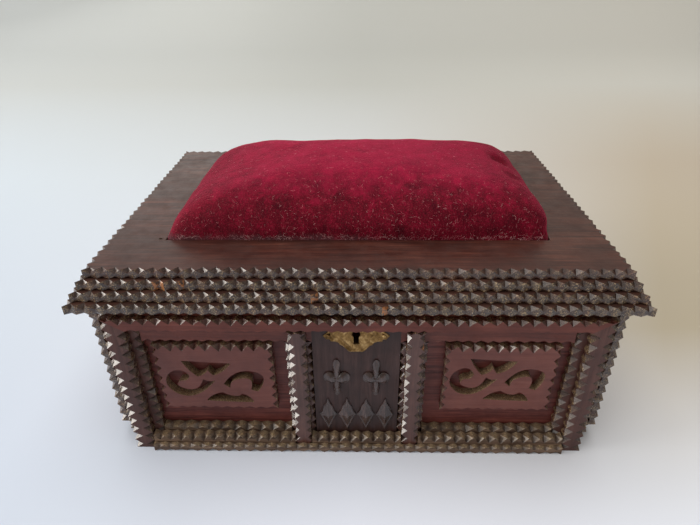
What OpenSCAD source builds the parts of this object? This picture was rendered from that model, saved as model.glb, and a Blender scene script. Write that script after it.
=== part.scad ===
// A chip-carved keepsake box with a hinged lid and a velvet pincushion.
// The origin is the middle of the footprint, on the table. The front faces -Y.

/* [Case] */
// Width of the bare case across its end walls
case_w = 235; // [190:1:290]
// Depth of the bare case from front to back
case_d = 153; // [126:1:190]
// Height of the case up to the underside of the lid
case_h = 88; // [72:1:110]
// Thickness of the four walls
wall_t = 5; // [4.5:0.5:8]
// Thickness of the bottom board
bottom_t = 4.5; // [3:0.5:8]

/* [Carved layers] */
// Thickness of one layer of strip or lid board
layer_t = 4.5; // [3.5:0.25:5.5]
// Distance from chip to chip along a carved edge
chip_pitch = 5.6; // [4.4:0.1:7]
// How far a chip runs in from the edge
chip_depth = 1.2; // [0.6:0.1:1.8]

/* [Corner posts] */
// Width of a post's inner strip
post_inner_w = 16.5; // [13:0.5:20]
// Width of a post's outer strip
post_outer_w = 10.3; // [8:0.1:12]
// How far a post's outer strip is set in from the corner
post_inset = 1.5; // [0:0.1:3]
// Height of the outer side strips' lower ends above the table
side_outer_foot = 8; // [0:0.5:12]
// Height of the inner side strips' lower ends above the table
side_inner_foot = 4; // [0:0.5:12]

/* [Rails] */
// Height of the top rail's inner strip
top_inner_h = 20.5; // [16:0.5:25]
// Height of the top rail's outer strip
top_outer_h = 6.7; // [5:0.1:9]
// Shadow gap between the lid and the top rail's outer strip
top_outer_drop = 4.7; // [4.5:0.1:7]
// Height of the base rail's inner strip
base_inner_h = 11; // [9.5:0.5:16]
// Height of the base rail's outer strip
base_outer_h = 8.8; // [7:0.1:9.4]
// Height of the thin lip along the foot of the front
lip_h = 4.5; // [3:0.1:6]
// Thickness of the lip
lip_t = 2.4; // [1.5:0.1:3.5]

/* [Front bays] */
// Width of the centre panel with the lock
panel_w = 41.6; // [34:0.2:50]
// Width of a pilaster's inner strip
pilaster_inner_w = 13; // [10:0.5:16]
// Width of a pilaster's outer strip
pilaster_outer_w = 8.7; // [7:0.1:10]
// Space between the left plaque and its pilaster
left_plaque_in = 6; // [2:0.1:8]
// Space between the left plaque and its post
left_plaque_out = 3.4; // [2:0.1:8]
// Space between the right plaque and its pilaster
right_plaque_in = 8.4; // [2:0.1:10]
// Space between the right plaque and its post
right_plaque_out = 4.4; // [2:0.1:8]
// Width of the plaque on each end of the box
end_plaque_w = 59.6; // [50:0.2:80]
// Space above a plaque
plaque_gap_above = 2.3; // [0.5:0.1:4]
// Space below a plaque
plaque_gap_below = 13.4; // [6:0.1:16]
// Height of the carved ornaments on the centre panel
ornament_relief = 2.4; // [1:0.1:3]

/* [Lid] */
// How far the lid stands out past the outer strips at each end
end_overhang = 1.9; // [1:0.1:5]
// How far the lid stands out past the outer strips at the front and back
front_overhang = 2.9; // [2:0.1:6]
// How far each lid board stands out past the one above
lid_step = 2.8; // [1.5:0.1:3]
// Width of the top board's frame round the pincushion
frame_w = 28; // [20:0.5:36]
// Height of the pincushion above the top board
cushion_crown = 27; // [15:1:35]

/* [Hinges] */
// Distance from the end of the bare case to the middle of a hinge
hinge_inset = 47.5; // [35:0.5:60]
// Length of a hinge
hinge_l = 26; // [20:1:32]
// Thickness of a hinge leaf
leaf_t = 1; // [0.8:0.1:1.2]
// Radius of a hinge knuckle
knuckle_r = 1.8; // [1.5:0.1:2]
// Radius of a hinge pin
pin_r = 0.9; // [0.7:0.05:1]
// How far the hinge pin lies inside the outer strips' back face
hinge_in = 0.7; // [0.6:0.1:1]

/* [Lock] */
// Width of the lock's case
lock_w = 34; // [30:1:40]
// Height of the lock's case
lock_h = 24; // [20:1:28]
// Depth of the lock's case into the box
lock_d = 8; // [7:0.5:10]
// Travel of the bolt
bolt_travel = 4; // [3:0.5:4]
// Depth of the keyhole's round part below the lid
keyhole_drop = 15.3; // [14:0.1:17]

/* [Hidden] */
$fn = 32;
// How little and how far a cut runs past the face it leaves
eps = 0.01;
over = 1;

// Running clearance of a pin or screw in its hole
pin_gap = 0.05;
screw_gap = 0.02;
// Clearance round a mortised plate and round the pincushion
plate_gap = 0.1;
soft_gap = 0.3;
// Clearance between parts that turn or slide past each other
moving_gap = 0.3;

half_w = case_w / 2;
half_d = case_d / 2;
outer_d = half_d + 2 * layer_t;
lid_under = case_h;
lid_top = case_h + 4 * layer_t;
rail_outer_top = case_h - top_outer_drop;
rail_outer_low = rail_outer_top - top_outer_h;
rail_inner_low = case_h - top_inner_h;
lid_half_w = half_w + 2 * layer_t + end_overhang - 3 * lid_step;
lid_half_d = half_d + 2 * layer_t + front_overhang - 3 * lid_step;
window_half_w = lid_half_w - frame_w;
window_half_d = lid_half_d - frame_w;

panel_u = panel_w / 2;
pilaster_mid = panel_u + pilaster_inner_w / 2;
pilaster_edge = panel_u + pilaster_inner_w;
pilaster_outer_in = pilaster_mid - pilaster_outer_w / 2;
pilaster_outer_out = pilaster_mid + pilaster_outer_w / 2;
bay_w = half_w - post_inner_w - pilaster_edge;
plaque_low = base_inner_h + plaque_gap_below;
plaque_h = rail_inner_low - plaque_gap_above - plaque_low;

keyhole_z = case_h - keyhole_drop;
keyhole_r = 2;
keyhole_slot_w = 2.5;
keyhole_slot_h = 5.5;

hinge_x = half_w - hinge_inset;
hinge_y = outer_d - hinge_in;
hinge_z = case_h - knuckle_r;
leaf_rim = 0.5;
leaf_y = half_d - wall_t + leaf_rim;
leaf_screw_y = half_d - wall_t / 2;
leaf_screw_share = 0.31;
leaf_screw_x = hinge_l * leaf_screw_share;
knuckle_l = hinge_l / 3;
turning_reach = 3.4;
web_back = 1.4;
web_front = 1;
screw_head_r = 1.6;
screw_head_t = 0.5;
screw_sink = 0.1;
screw_shank_r = 0.8;
screw_l = 4;
lid_screw_l = 3;

lock_sink = 0.4;
lock_top = case_h - lock_sink;
lock_low = lock_top - lock_h;
lock_y = -half_d + wall_t;
lock_skin = 1.5;
lock_roof = 1.2;
lock_ear_w = 7;
lock_flange_w = lock_w + 2 * lock_ear_w;
lock_flange_t = 1.2;
lock_screw_u = lock_w / 2 + lock_ear_w / 2;
lock_screw_in = 5;
bolt_h = 2.6;
bolt_t = 1.6;
bolt_drop = 5.5;
bolt_z = case_h - bolt_drop;
bolt_in = 3.3;
bolt_y = lock_y + bolt_in;
bolt_tip = 4.6;
bolt_tail_gap = 0.5;
bolt_tail = lock_w / 2 - lock_skin - bolt_tail_gap;
runner_t = 1.6;
runner_l = 5.4;
talon_start = 6;
talon_h = 6.5;
talon_gap = 0.4;
notch_from = -5;
notch_to = -1;
notch_h = 2;
staple_gap = 1.4;
staple_u = bolt_tip + staple_gap;
staple_t = 2;
staple_w = 4.4;
staple_drop = 7.5;
link_w = 24;
link_d = 7.4;
link_screw_u = 9.5;

brass = [0.72, 0.58, 0.32];
iron = [0.45, 0.42, 0.38];
dark_wood = [0.22, 0.12, 0.08];
red_wood = [0.34, 0.13, 0.09];
strip_wood = [0.28, 0.18, 0.12];
velvet = [0.48, 0.04, 0.12];

// Points of a carved edge from p to q: chips stand at full width, with a V cut between each two
function teeth(p, q) = max(2, round(norm(q - p) / chip_pitch));
function inward(p, q) = [p[1] - q[1], q[0] - p[0]] / norm(q - p);
function carved_edge(p, q) =
  let (n = teeth(p, q), step = (q - p) / n, cut = inward(p, q) * chip_depth)
  [for (i = [0 : n - 1]) each [p + step * i, p + step * (i + 0.5) + cut]];
function plain_edge(p) = [p];
function outline(c, carved) = [
  for (i = [0 : len(c) - 1])
    each (carved[i] ? carved_edge(c[i], c[(i + 1) % len(c)]) : plain_edge(c[i]))
];
function box_corners(u0, u1, z0, z1) = [[u0, z0], [u1, z0], [u1, z1], [u0, z1]];

// A quadratic curve from a to c that passes through b
function bend(a, b, c, n = 7) =
  let (m = 2 * b - (a + c) / 2)
  [for (i = [0 : n - 1]) let (t = i / n) (1 - t) * (1 - t) * a + 2 * t * (1 - t) * m + t * t * c];

// Fretwork cut-outs of a plaque, from its middle, drawn for the nominal width
fret_w = 57.5;
fret_h = 40.8;
fret_crest = concat(
  bend([-15.9, 12], [-13.2, 6.8], [-9.4, 2]),
  bend([-9.4, 2], [-6.2, 3.4], [-3.7, 6.2]),
  bend([-3.7, 6.2], [-2.8, 4.4], [-1.4, 2.8]),
  bend([-1.4, 2.8], [4.2, 6], [8.8, 12])
);
fret_scroll = concat(
  bend([-13.2, 2.6], [-17.6, 6.2], [-23.4, 3.6]),
  bend([-23.4, 3.6], [-25.2, -3.4], [-20.6, -9.6]),
  bend([-20.6, -9.6], [-11.2, -9.9], [-0.9, -0.6]),
  bend([-0.9, -0.6], [-4, -1], [-6.9, 0.4]),
  bend([-6.9, 0.4], [-10.6, -5.6], [-16.6, -5.9]),
  bend([-16.6, -5.9], [-19.8, -3.4], [-17.6, -0.6]),
  bend([-17.6, -0.6], [-14.6, 0], [-13.2, 2.6])
);
fret_arch = concat(
  bend([3, -2.8], [9.4, 4.1], [16.8, 5.6]),
  bend([16.8, 5.6], [23, 1.6], [19.6, -7.7]),
  [[19.6, -7.7]],
  bend([16.2, -6.6], [16.4, 0], [11, 0.6]),
  bend([11, 0.6], [7.2, -1.4], [6, -5.4]),
  [[6, -5.4]]
);
fret_foot = concat(
  bend([-7, -13.9], [-3, -10.2], [1.8, -8.3]),
  bend([1.8, -8.3], [4.6, -10], [7.6, -10.8]),
  bend([7.6, -10.8], [9.7, -10.6], [11.6, -9.2]),
  bend([11.6, -9.2], [15, -11.6], [17, -15]),
  [[17, -15]]
);

// Places a shape drawn with u along a wall, z up and -Y outward on one of the four sides
module on_front() translate([0, -half_d, 0]) children();
module on_back() rotate([0, 0, 180]) translate([0, -half_d, 0]) children();
module on_right() rotate([0, 0, 90]) translate([0, -half_w, 0]) children();
module on_left() rotate([0, 0, 270]) translate([0, -half_w, 0]) children();

// One strip of the inner layer (level 0) or outer layer (level 1)
module strip(c, carved, level)
  translate([0, -level * layer_t, 0]) rotate([90, 0, 0]) linear_extrude(layer_t) polygon(outline(c, carved));

module box_from(low, high) translate(low) cube(high - low);

// The keyhole, cut through everything it meets between two depths
module keyhole_cut(y0, y1) {
  translate([0, y1, keyhole_z]) rotate([90, 0, 0]) cylinder(r = keyhole_r, h = y1 - y0);
  box_from([-keyhole_slot_w / 2, y0, keyhole_z - keyhole_slot_h], [keyhole_slot_w / 2, y1, keyhole_z]);
}

// A screw that points along +Z, with its head's face at the origin
module screw(length) {
  cylinder(r = screw_head_r, h = screw_head_t);
  cylinder(r = screw_shank_r, h = length + screw_head_t);
}
module screw_hole(length) {
  translate([0, 0, -screw_sink - eps])
    cylinder(r = screw_head_r + screw_gap, h = screw_head_t + screw_sink + eps);
  cylinder(r = screw_shank_r + screw_gap, h = length + screw_head_t + screw_gap);
}
module screw_row_down() for (s = [-1, 1], t = [-1, 1])
  translate([s * hinge_x + t * leaf_screw_x, leaf_screw_y, case_h - screw_sink])
    rotate([180, 0, 0]) children();
module screw_row_up() for (s = [-1, 1], t = [-1, 1])
  translate([s * hinge_x + t * leaf_screw_x, leaf_screw_y, lid_under + screw_sink]) children();
module link_screw_row() for (s = [-1, 1])
  translate([s * link_screw_u, bolt_y, lid_under + screw_sink]) children();
module lock_screw_row() for (s = [-1, 1], z = [lock_low + lock_screw_in, lock_top - lock_screw_in])
  translate([s * lock_screw_u, lock_y + lock_flange_t, z]) rotate([90, 0, 0]) children();

// Recesses that the hinge leaves lie in
module leaf_mortises(z0, z1) for (s = [-1, 1])
  box_from([s * hinge_x - hinge_l / 2 - plate_gap, leaf_y - plate_gap, z0],
           [s * hinge_x + hinge_l / 2 + plate_gap, outer_d + 4 * lid_step + layer_t, z1]);

module bottom_board() color(red_wood)
  box_from([-half_w + wall_t, -half_d + wall_t, 0], [half_w - wall_t, half_d - wall_t, bottom_t]);

module front_wall() color(red_wood) difference() {
  box_from([-half_w, -half_d, 0], [half_w, -half_d + wall_t, case_h]);
  keyhole_cut(-half_d - over, -half_d + wall_t + over);
  lock_screw_row() screw_hole(screw_l);
}
module back_wall() color(red_wood) difference() {
  box_from([-half_w, half_d - wall_t, 0], [half_w, half_d, case_h]);
  leaf_mortises(case_h - leaf_t, case_h + over);
  screw_row_down() screw_hole(screw_l);
}
module end_wall() color(red_wood)
  box_from([-wall_t / 2, -half_d + wall_t, 0], [wall_t / 2, half_d - wall_t, case_h]);
module left_wall() translate([-half_w + wall_t / 2, 0, 0]) end_wall();
module right_wall() translate([half_w - wall_t / 2, 0, 0]) end_wall();

// Top rails: the inner strip reaches the lid, the outer strip is mitred over the posts
module top_rail_inner(half) color(strip_wood)
  strip(box_corners(-half + post_inner_w, half - post_inner_w, rail_inner_low, case_h), [1, 0, 0, 0], 0);
module top_rail_outer(half) color(strip_wood) let (e = half - post_inset, f = e - post_outer_w)
  strip([[-f, rail_outer_low], [f, rail_outer_low], [e, rail_outer_top], [-e, rail_outer_top]],
        [1, 0, 1, 0], 1);
module front_top_rail_inner() color(strip_wood) on_front() {
  strip(box_corners(-half_w + post_inner_w, -panel_u, rail_inner_low, case_h), [1, 0, 0, 0], 0);
  strip(box_corners(panel_u, half_w - post_inner_w, rail_inner_low, case_h), [1, 0, 0, 0], 0);
}
module front_top_rail_outer() on_front() top_rail_outer(half_w);
module back_top_rail_inner() difference() {
  on_back() top_rail_inner(half_w);
  leaf_mortises(case_h - leaf_t, case_h + over);
}
module back_top_rail_outer() on_back() top_rail_outer(half_w);
module left_top_rail_inner() on_left() top_rail_inner(half_d);
module left_top_rail_outer() on_left() top_rail_outer(half_d);
module right_top_rail_inner() on_right() top_rail_inner(half_d);
module right_top_rail_outer() on_right() top_rail_outer(half_d);

// Base rails stand between the posts, and on the front between the pilasters too, behind a thin lip
module base_rail_inner(half) color(strip_wood)
  strip(box_corners(-half + post_inner_w, half - post_inner_w, 0, base_inner_h), [0, 0, 1, 0], 0);
module base_rail_outer(half) color(strip_wood) let (f = half - post_inset - post_outer_w)
  strip(box_corners(-f, f, 0, base_outer_h), [1, 0, 1, 0], 1);
module front_base_rail_inner() color(strip_wood) on_front() {
  strip(box_corners(-half_w + post_inner_w, -pilaster_edge, 0, base_inner_h), [0, 0, 1, 0], 0);
  strip(box_corners(pilaster_edge, half_w - post_inner_w, 0, base_inner_h), [0, 0, 1, 0], 0);
}
module front_lip(f)
  translate([0, -2 * layer_t, 0]) rotate([90, 0, 0])
    linear_extrude(lip_t) polygon(outline(box_corners(-f, f, 0, lip_h), [1, 0, 1, 0]));
module front_base_rail_outer() color(strip_wood) on_front() let (f = half_w - post_inset - post_outer_w) {
  strip(box_corners(-f, -pilaster_outer_out, 0, base_outer_h), [1, 0, 1, 0], 1);
  strip(box_corners(-pilaster_outer_in, pilaster_outer_in, 0, base_outer_h), [1, 0, 1, 0], 1);
  strip(box_corners(pilaster_outer_out, f, 0, base_outer_h), [1, 0, 1, 0], 1);
  front_lip(f);
}
module back_base_rail_inner() on_back() base_rail_inner(half_w);
module back_base_rail_outer() on_back() base_rail_outer(half_w);
module left_base_rail_inner() on_left() base_rail_inner(half_d);
module left_base_rail_outer() on_left() base_rail_outer(half_d);
module right_base_rail_inner() on_right() base_rail_inner(half_d);
module right_base_rail_outer() on_right() base_rail_outer(half_d);

// Corner posts: one strip on each of the two walls that meet, side = -1 or 1 along the wall
module post_inner(half, side, foot) color(strip_wood) let (a = half - post_inner_w)
  strip(side < 0 ? box_corners(-half, -a, foot, case_h) : box_corners(a, half, foot, case_h),
        [0, 1, 0, 1], 0);
module post_outer(half, side, foot) color(strip_wood) let (e = half - post_inset, f = e - post_outer_w)
  strip(side < 0 ? [[-e, foot], [-f, foot], [-f, rail_outer_low], [-e, rail_outer_top]]
                 : [[f, foot], [e, foot], [e, rail_outer_top], [f, rail_outer_low]], [0, 1, 0, 1], 1);
module front_left_post_inner() {
  on_front() post_inner(half_w, -1, 0);
  on_left() post_inner(half_d, 1, side_inner_foot);
}
module front_left_post_outer() {
  on_front() post_outer(half_w, -1, 0);
  on_left() post_outer(half_d, 1, side_outer_foot);
}
module front_right_post_inner() {
  on_front() post_inner(half_w, 1, 0);
  on_right() post_inner(half_d, -1, side_inner_foot);
}
module front_right_post_outer() {
  on_front() post_outer(half_w, 1, 0);
  on_right() post_outer(half_d, -1, side_outer_foot);
}
module back_left_post_inner() {
  on_back() post_inner(half_w, 1, 0);
  on_left() post_inner(half_d, -1, side_inner_foot);
}
module back_left_post_outer() {
  on_back() post_outer(half_w, 1, 0);
  on_left() post_outer(half_d, -1, side_outer_foot);
}
module back_right_post_inner() {
  on_back() post_inner(half_w, -1, 0);
  on_right() post_inner(half_d, 1, side_inner_foot);
}
module back_right_post_outer() {
  on_back() post_outer(half_w, -1, 0);
  on_right() post_outer(half_d, 1, side_outer_foot);
}

// Pilasters: the inner strip ends under the top rail, the outer strip laps it
module pilaster_strip(mid, half, top, level) color(strip_wood) on_front()
  strip(box_corners(mid - half, mid + half, 0, top), [0, 1, 0, 1], level);
module pilaster_inner(mid) pilaster_strip(mid, pilaster_inner_w / 2, rail_inner_low, 0);
module pilaster_outer(mid) pilaster_strip(mid, pilaster_outer_w / 2, rail_outer_low, 1);
module left_pilaster_inner() pilaster_inner(-pilaster_mid);
module left_pilaster_outer() pilaster_outer(-pilaster_mid);
module right_pilaster_inner() pilaster_inner(pilaster_mid);
module right_pilaster_outer() pilaster_outer(pilaster_mid);

// A plaque of one layer with fretwork cut right through it, a little above or below its middle
function fitted(points, w) = [for (p = points) [p[0] * w / fret_w, p[1] * plaque_h / fret_h]];
module fret_cut(points, w, rise)
  translate([0, over, plaque_low + plaque_h / 2 + rise]) rotate([90, 0, 0])
    linear_extrude(layer_t + 2 * over) polygon(fitted(points, w));
module plaque(w, rise = 0) color(strip_wood) difference() {
  strip(box_corners(-w / 2, w / 2, plaque_low, plaque_low + plaque_h), [1, 1, 1, 1], 0);
  fret_cut(fret_crest, w, rise);
  fret_cut(fret_scroll, w, rise);
  fret_cut(fret_arch, w, rise);
  fret_cut(fret_foot, w, rise);
}
left_plaque_w = bay_w - left_plaque_in - left_plaque_out;
right_plaque_w = bay_w - right_plaque_in - right_plaque_out;
left_fret_rise = -1.2;
right_fret_rise = 1;
module front_left_plaque() on_front()
  translate([-pilaster_edge - left_plaque_in - left_plaque_w / 2, 0, 0])
    plaque(left_plaque_w, left_fret_rise);
module front_right_plaque() on_front()
  translate([pilaster_edge + right_plaque_in + right_plaque_w / 2, 0, 0])
    plaque(right_plaque_w, right_fret_rise);
module left_plaque() on_left() plaque(end_plaque_w);
module right_plaque() on_right() plaque(end_plaque_w);

// The plain panel with the keyhole, at the level of the inner strips
panel_face = -half_d - layer_t;
pin_u = 13;
pin_drop = 16.4;
pin_z = case_h - pin_drop;
pin_shank_r = 0.6;
pin_head_r = 1.1;
pin_crown_r = 0.7;
pin_head_t = 0.5;
pin_l = 2.5;
pin_hole_l = 3;
module pin_hole()
  translate([0, 0, -pin_hole_l]) cylinder(r = pin_shank_r + screw_gap, h = pin_hole_l + over);
module pin_row() for (s = [-1, 1]) translate([s * pin_u, panel_face, pin_z]) rotate([90, 0, 0]) children();
module centre_panel() color(dark_wood) difference() {
  on_front() strip(box_corners(-panel_u, panel_u, 0, case_h), [0, 0, 0, 0], 0);
  keyhole_cut(panel_face - over, -half_d + over);
  pin_row() pin_hole();
}

// The ornaments share the panel's height between the base rail and the keyhole plate
ornament_low = base_outer_h + 1.5;
ornament_high = case_h - 30.6;
ornament_gap = 2.6;
ornament_unit = (ornament_high - ornament_low - ornament_gap) / 102;
lozenge_pitch = panel_u * 6 / 13;
lozenge_gap = 0.3;
lozenge_half_w = lozenge_pitch / 2 - lozenge_gap;
lozenge_half_h = 25 * ornament_unit;
lozenge_z = ornament_low + lozenge_half_h;
rosette_u = lozenge_pitch;
rosette_half_w = rosette_u * 2 / 3;
rosette_half_h = 26 * ornament_unit;
rosette_z = ornament_high - rosette_half_h;
rosette_waist = 0.36;
rosette_power = 1.4;
rosette_points = 48;

// Two upright four-petal rosettes
function petal(a) = rosette_waist + (1 - rosette_waist) * pow(abs(cos(2 * a)), rosette_power);
module centre_rosettes() color(strip_wood) for (s = [-1, 1])
  translate([s * rosette_u, panel_face, rosette_z]) rotate([90, 0, 0]) linear_extrude(ornament_relief)
    polygon([for (i = [0 : rosette_points - 1]) let (a = 360 * i / rosette_points)
      [rosette_half_w * petal(a) * cos(a), rosette_half_h * petal(a) * sin(a)]]);

// A row of four faceted lozenges
module lozenge() polyhedron(
  points = [[-lozenge_half_w, 0, 0], [0, 0, -lozenge_half_h], [lozenge_half_w, 0, 0], [0, 0, lozenge_half_h],
            [0, -ornament_relief, 0]],
  faces = [[0, 3, 2, 1], [0, 1, 4], [1, 2, 4], [2, 3, 4], [3, 0, 4]]);
module centre_lozenges() color(strip_wood) for (i = [-1.5 : 1 : 1.5])
  translate([i * lozenge_pitch, panel_face, lozenge_z]) lozenge();

// The brass keyhole plate, drawn for its right half from the top middle
plate_t = 0.8;
plate_half = [[10.4, 2.6], [12.6, 1.6], [15.6, -1.2], [14, -3.4], [12.6, -3.4], [12, -4.7], [10.2, -4.6],
              [8.4, -5.4], [7.8, -6.6], [6.4, -7.2], [5.4, -8.4], [3.8, -10.4], [2.8, -10.8]];
function mirrored(points) = [for (i = [len(points) - 1 : -1 : 0]) [-points[i][0], points[i][1]]];
module escutcheon() color(brass) difference() {
  translate([0, panel_face, keyhole_z]) rotate([90, 0, 0]) linear_extrude(plate_t)
    polygon(concat(plate_half, mirrored(plate_half)));
  keyhole_cut(panel_face - plate_t - over, panel_face + over);
  pin_row() pin_hole();
}
module escutcheon_pins() color(brass) pin_row() {
  translate([0, 0, -pin_l]) cylinder(r = pin_shank_r, h = pin_l + plate_t + eps);
  translate([0, 0, plate_t]) cylinder(r1 = pin_head_r, r2 = pin_crown_r, h = pin_head_t);
}

// The lock: a shallow case let against the wall, open towards it, with a slot for the staple
module lock_case() color(iron) difference() {
  union() {
    box_from([-lock_w / 2, lock_y, lock_low], [lock_w / 2, lock_y + lock_d, lock_top]);
    box_from([-lock_flange_w / 2, lock_y, lock_low], [lock_flange_w / 2, lock_y + lock_flange_t, lock_top]);
  }
  difference() {
    box_from([-lock_w / 2 + lock_skin, lock_y - over, lock_low + lock_skin],
             [lock_w / 2 - lock_skin, lock_y + lock_d - lock_skin, lock_top - lock_roof]);
    box_from([-lock_w / 2, lock_y, bolt_z - moving_gap - runner_t],
             [-bolt_tail + runner_l, lock_y + lock_d, bolt_z - moving_gap]);
  }
  box_from([staple_u - 2 * moving_gap, bolt_y - staple_w / 2 - 2 * moving_gap, lock_top - lock_roof - over],
           [staple_u + staple_t + 2 * moving_gap, bolt_y + staple_w / 2 + 2 * moving_gap, lock_top + over]);
  lock_screw_row() translate([0, 0, -screw_head_t]) screw_hole(screw_l + screw_head_t);
}
module lock_screws() color(iron) lock_screw_row() translate([0, 0, -screw_head_t]) screw(screw_l);
module lock_bolt() color(brass) difference() {
  union() {
    box_from([-bolt_tail, bolt_y - bolt_t / 2, bolt_z], [bolt_tip, bolt_y + bolt_t / 2, bolt_z + bolt_h]);
    box_from([-bolt_tail + talon_start, bolt_y - bolt_t / 2, bolt_z - talon_h],
             [staple_u - bolt_travel - talon_gap, bolt_y + bolt_t / 2, bolt_z + over]);
  }
  box_from([notch_from, bolt_y - bolt_t, bolt_z - talon_h - over],
           [notch_to, bolt_y + bolt_t, bolt_z - talon_h + notch_h]);
}
module lid_link_plate() color(brass) difference() {
  union() {
    box_from([-link_w / 2, bolt_y - link_d / 2, lid_under],
             [link_w / 2, bolt_y + link_d / 2, lid_under + leaf_t]);
    box_from([staple_u, bolt_y - staple_w / 2, lid_under - staple_drop],
             [staple_u + staple_t, bolt_y + staple_w / 2, lid_under + eps]);
  }
  box_from([staple_u - over, bolt_y - bolt_t / 2 - moving_gap, bolt_z - moving_gap],
           [staple_u + staple_t + over, bolt_y + bolt_t / 2 + moving_gap, bolt_z + bolt_h + moving_gap]);
  link_screw_row() screw_hole(lid_screw_l);
}
module lid_link_screws() color(brass) link_screw_row() screw(lid_screw_l);

// Hinges: the pin lies in the shadow gap over the outer strip, under the lid's overhang
module knuckle(x0, x1)
  translate([x0, hinge_y, hinge_z]) rotate([0, 90, 0]) cylinder(r = knuckle_r, h = x1 - x0);
module pin_bore(gap) translate([-hinge_l, hinge_y, hinge_z]) rotate([0, 90, 0])
  cylinder(r = pin_r + gap, h = 2 * hinge_l);
module hinge_case_leaf() color(brass) difference() {
  union() {
    box_from([-hinge_l / 2, leaf_y, case_h - leaf_t], [hinge_l / 2, hinge_y, case_h]);
    knuckle(-hinge_l / 2, hinge_l / 2);
  }
  pin_bore(screw_gap);
  box_from([-knuckle_l / 2 - moving_gap, hinge_y - turning_reach, case_h - 3 * knuckle_r],
           [knuckle_l / 2 + moving_gap, hinge_y + turning_reach, case_h + knuckle_r]);
  for (t = [-1, 1]) translate([t * leaf_screw_x, leaf_screw_y, case_h - screw_sink]) rotate([180, 0, 0])
    screw_hole(screw_l);
}
module hinge_lid_leaf() color(brass) difference() {
  union() {
    box_from([-hinge_l / 2, leaf_y, lid_under], [hinge_l / 2, hinge_y - turning_reach, lid_under + leaf_t]);
    box_from([-knuckle_l / 2, leaf_y, lid_under], [knuckle_l / 2, hinge_y + web_front, lid_under + leaf_t]);
    box_from([-knuckle_l / 2, hinge_y - web_back, hinge_z],
             [knuckle_l / 2, hinge_y + web_front, lid_under + leaf_t]);
    knuckle(-knuckle_l / 2, knuckle_l / 2);
  }
  pin_bore(pin_gap);
  for (t = [-1, 1]) translate([t * leaf_screw_x, leaf_screw_y, lid_under + screw_sink])
    screw_hole(lid_screw_l);
}
module hinge_pin() color(brass) translate([-hinge_l / 2, hinge_y, hinge_z]) rotate([0, 90, 0])
  cylinder(r = pin_r, h = hinge_l);
module left_hinge_case_leaf() translate([-hinge_x, 0, 0]) hinge_case_leaf();
module right_hinge_case_leaf() translate([hinge_x, 0, 0]) hinge_case_leaf();
module left_hinge_lid_leaf() translate([-hinge_x, 0, 0]) hinge_lid_leaf();
module right_hinge_lid_leaf() translate([hinge_x, 0, 0]) hinge_lid_leaf();
module left_hinge_pin() translate([-hinge_x, 0, 0]) hinge_pin();
module right_hinge_pin() translate([hinge_x, 0, 0]) hinge_pin();
module hinge_case_screws() color(iron) screw_row_down() screw(lid_screw_l);
module hinge_lid_screws() color(iron) screw_row_up() screw(lid_screw_l);

// The lid is four boards, glued in a stack, each larger than the one above
module lid_board(level) let (w = lid_half_w + level * lid_step, d = lid_half_d + level * lid_step)
  translate([0, 0, lid_top - (level + 1) * layer_t]) linear_extrude(layer_t)
    polygon(outline(box_corners(-w, w, -d, d), [1, 1, 1, 1]));
module lid_top_board() color(dark_wood) difference() {
  lid_board(0);
  box_from([-window_half_w, -window_half_d, lid_top - 2 * layer_t],
           [window_half_w, window_half_d, lid_top + over]);
}
module lid_second_board() color(strip_wood) lid_board(1);
module lid_third_board() color(strip_wood) lid_board(2);
module lid_bottom_board() color(strip_wood) difference() {
  lid_board(3);
  leaf_mortises(lid_under - over, lid_under + leaf_t);
  box_from([-link_w / 2 - plate_gap, bolt_y - link_d / 2 - plate_gap, lid_under - over],
           [link_w / 2 + plate_gap, bolt_y + link_d / 2 + plate_gap, lid_under + leaf_t]);
  screw_row_up() screw_hole(lid_screw_l);
  link_screw_row() screw_hole(lid_screw_l);
}

// The pincushion stands on the second board and comes up through the window, with a boxy crown
cushion_a = window_half_w - soft_gap;
cushion_b = window_half_d - soft_gap;
cushion_rings = 11;
cushion_turns = 56;
cushion_power = 2.9;
cushion_pull = 0.02;
base_power = 12;
crown_power = 3.6;
function rounding(k) = base_power - (base_power - crown_power) * sqrt(k / cushion_rings);
function signed_power(v, e) = sign(v) * pow(abs(v), e);
function side_pull(k, a) = 1 - cushion_pull * sin(180 * k / cushion_rings) * pow(cos(2 * a), 2);
function cushion_ring(k, z) =
  let (s = pow(cos(90 * k / cushion_rings), 2 / cushion_power), q = 2 / rounding(k)) [
  for (i = [0 : cushion_turns - 1]) let (a = 360 * (i + 0.5) / cushion_turns, p = side_pull(k, a) * s)
    [cushion_a * p * signed_power(cos(a), q), cushion_b * p * signed_power(sin(a), q), z]
];
function ring_height(k) = lid_top + cushion_crown * pow(sin(90 * k / cushion_rings), 2 / cushion_power);
cushion_points = concat(
  cushion_ring(0, lid_top - layer_t),
  [for (k = [0 : cushion_rings - 1]) each cushion_ring(k, ring_height(k))],
  [[0, 0, lid_top + cushion_crown]]
);
function wrap(i) = i % cushion_turns;
cushion_faces = concat(
  [[for (i = [0 : cushion_turns - 1]) i]],
  [for (k = [0 : cushion_rings - 1], i = [0 : cushion_turns - 1])
    let (n = cushion_turns, a = k * n + i, b = k * n + wrap(i + 1)) each [[a, a + n, b + n], [a, b + n, b]]],
  [for (i = [0 : cushion_turns - 1])
    let (m = cushion_rings * cushion_turns) [m + wrap(i + 1), m + i, len(cushion_points) - 1]]
);
module pincushion() color(velvet) polyhedron(points = cushion_points, faces = cushion_faces);

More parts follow.
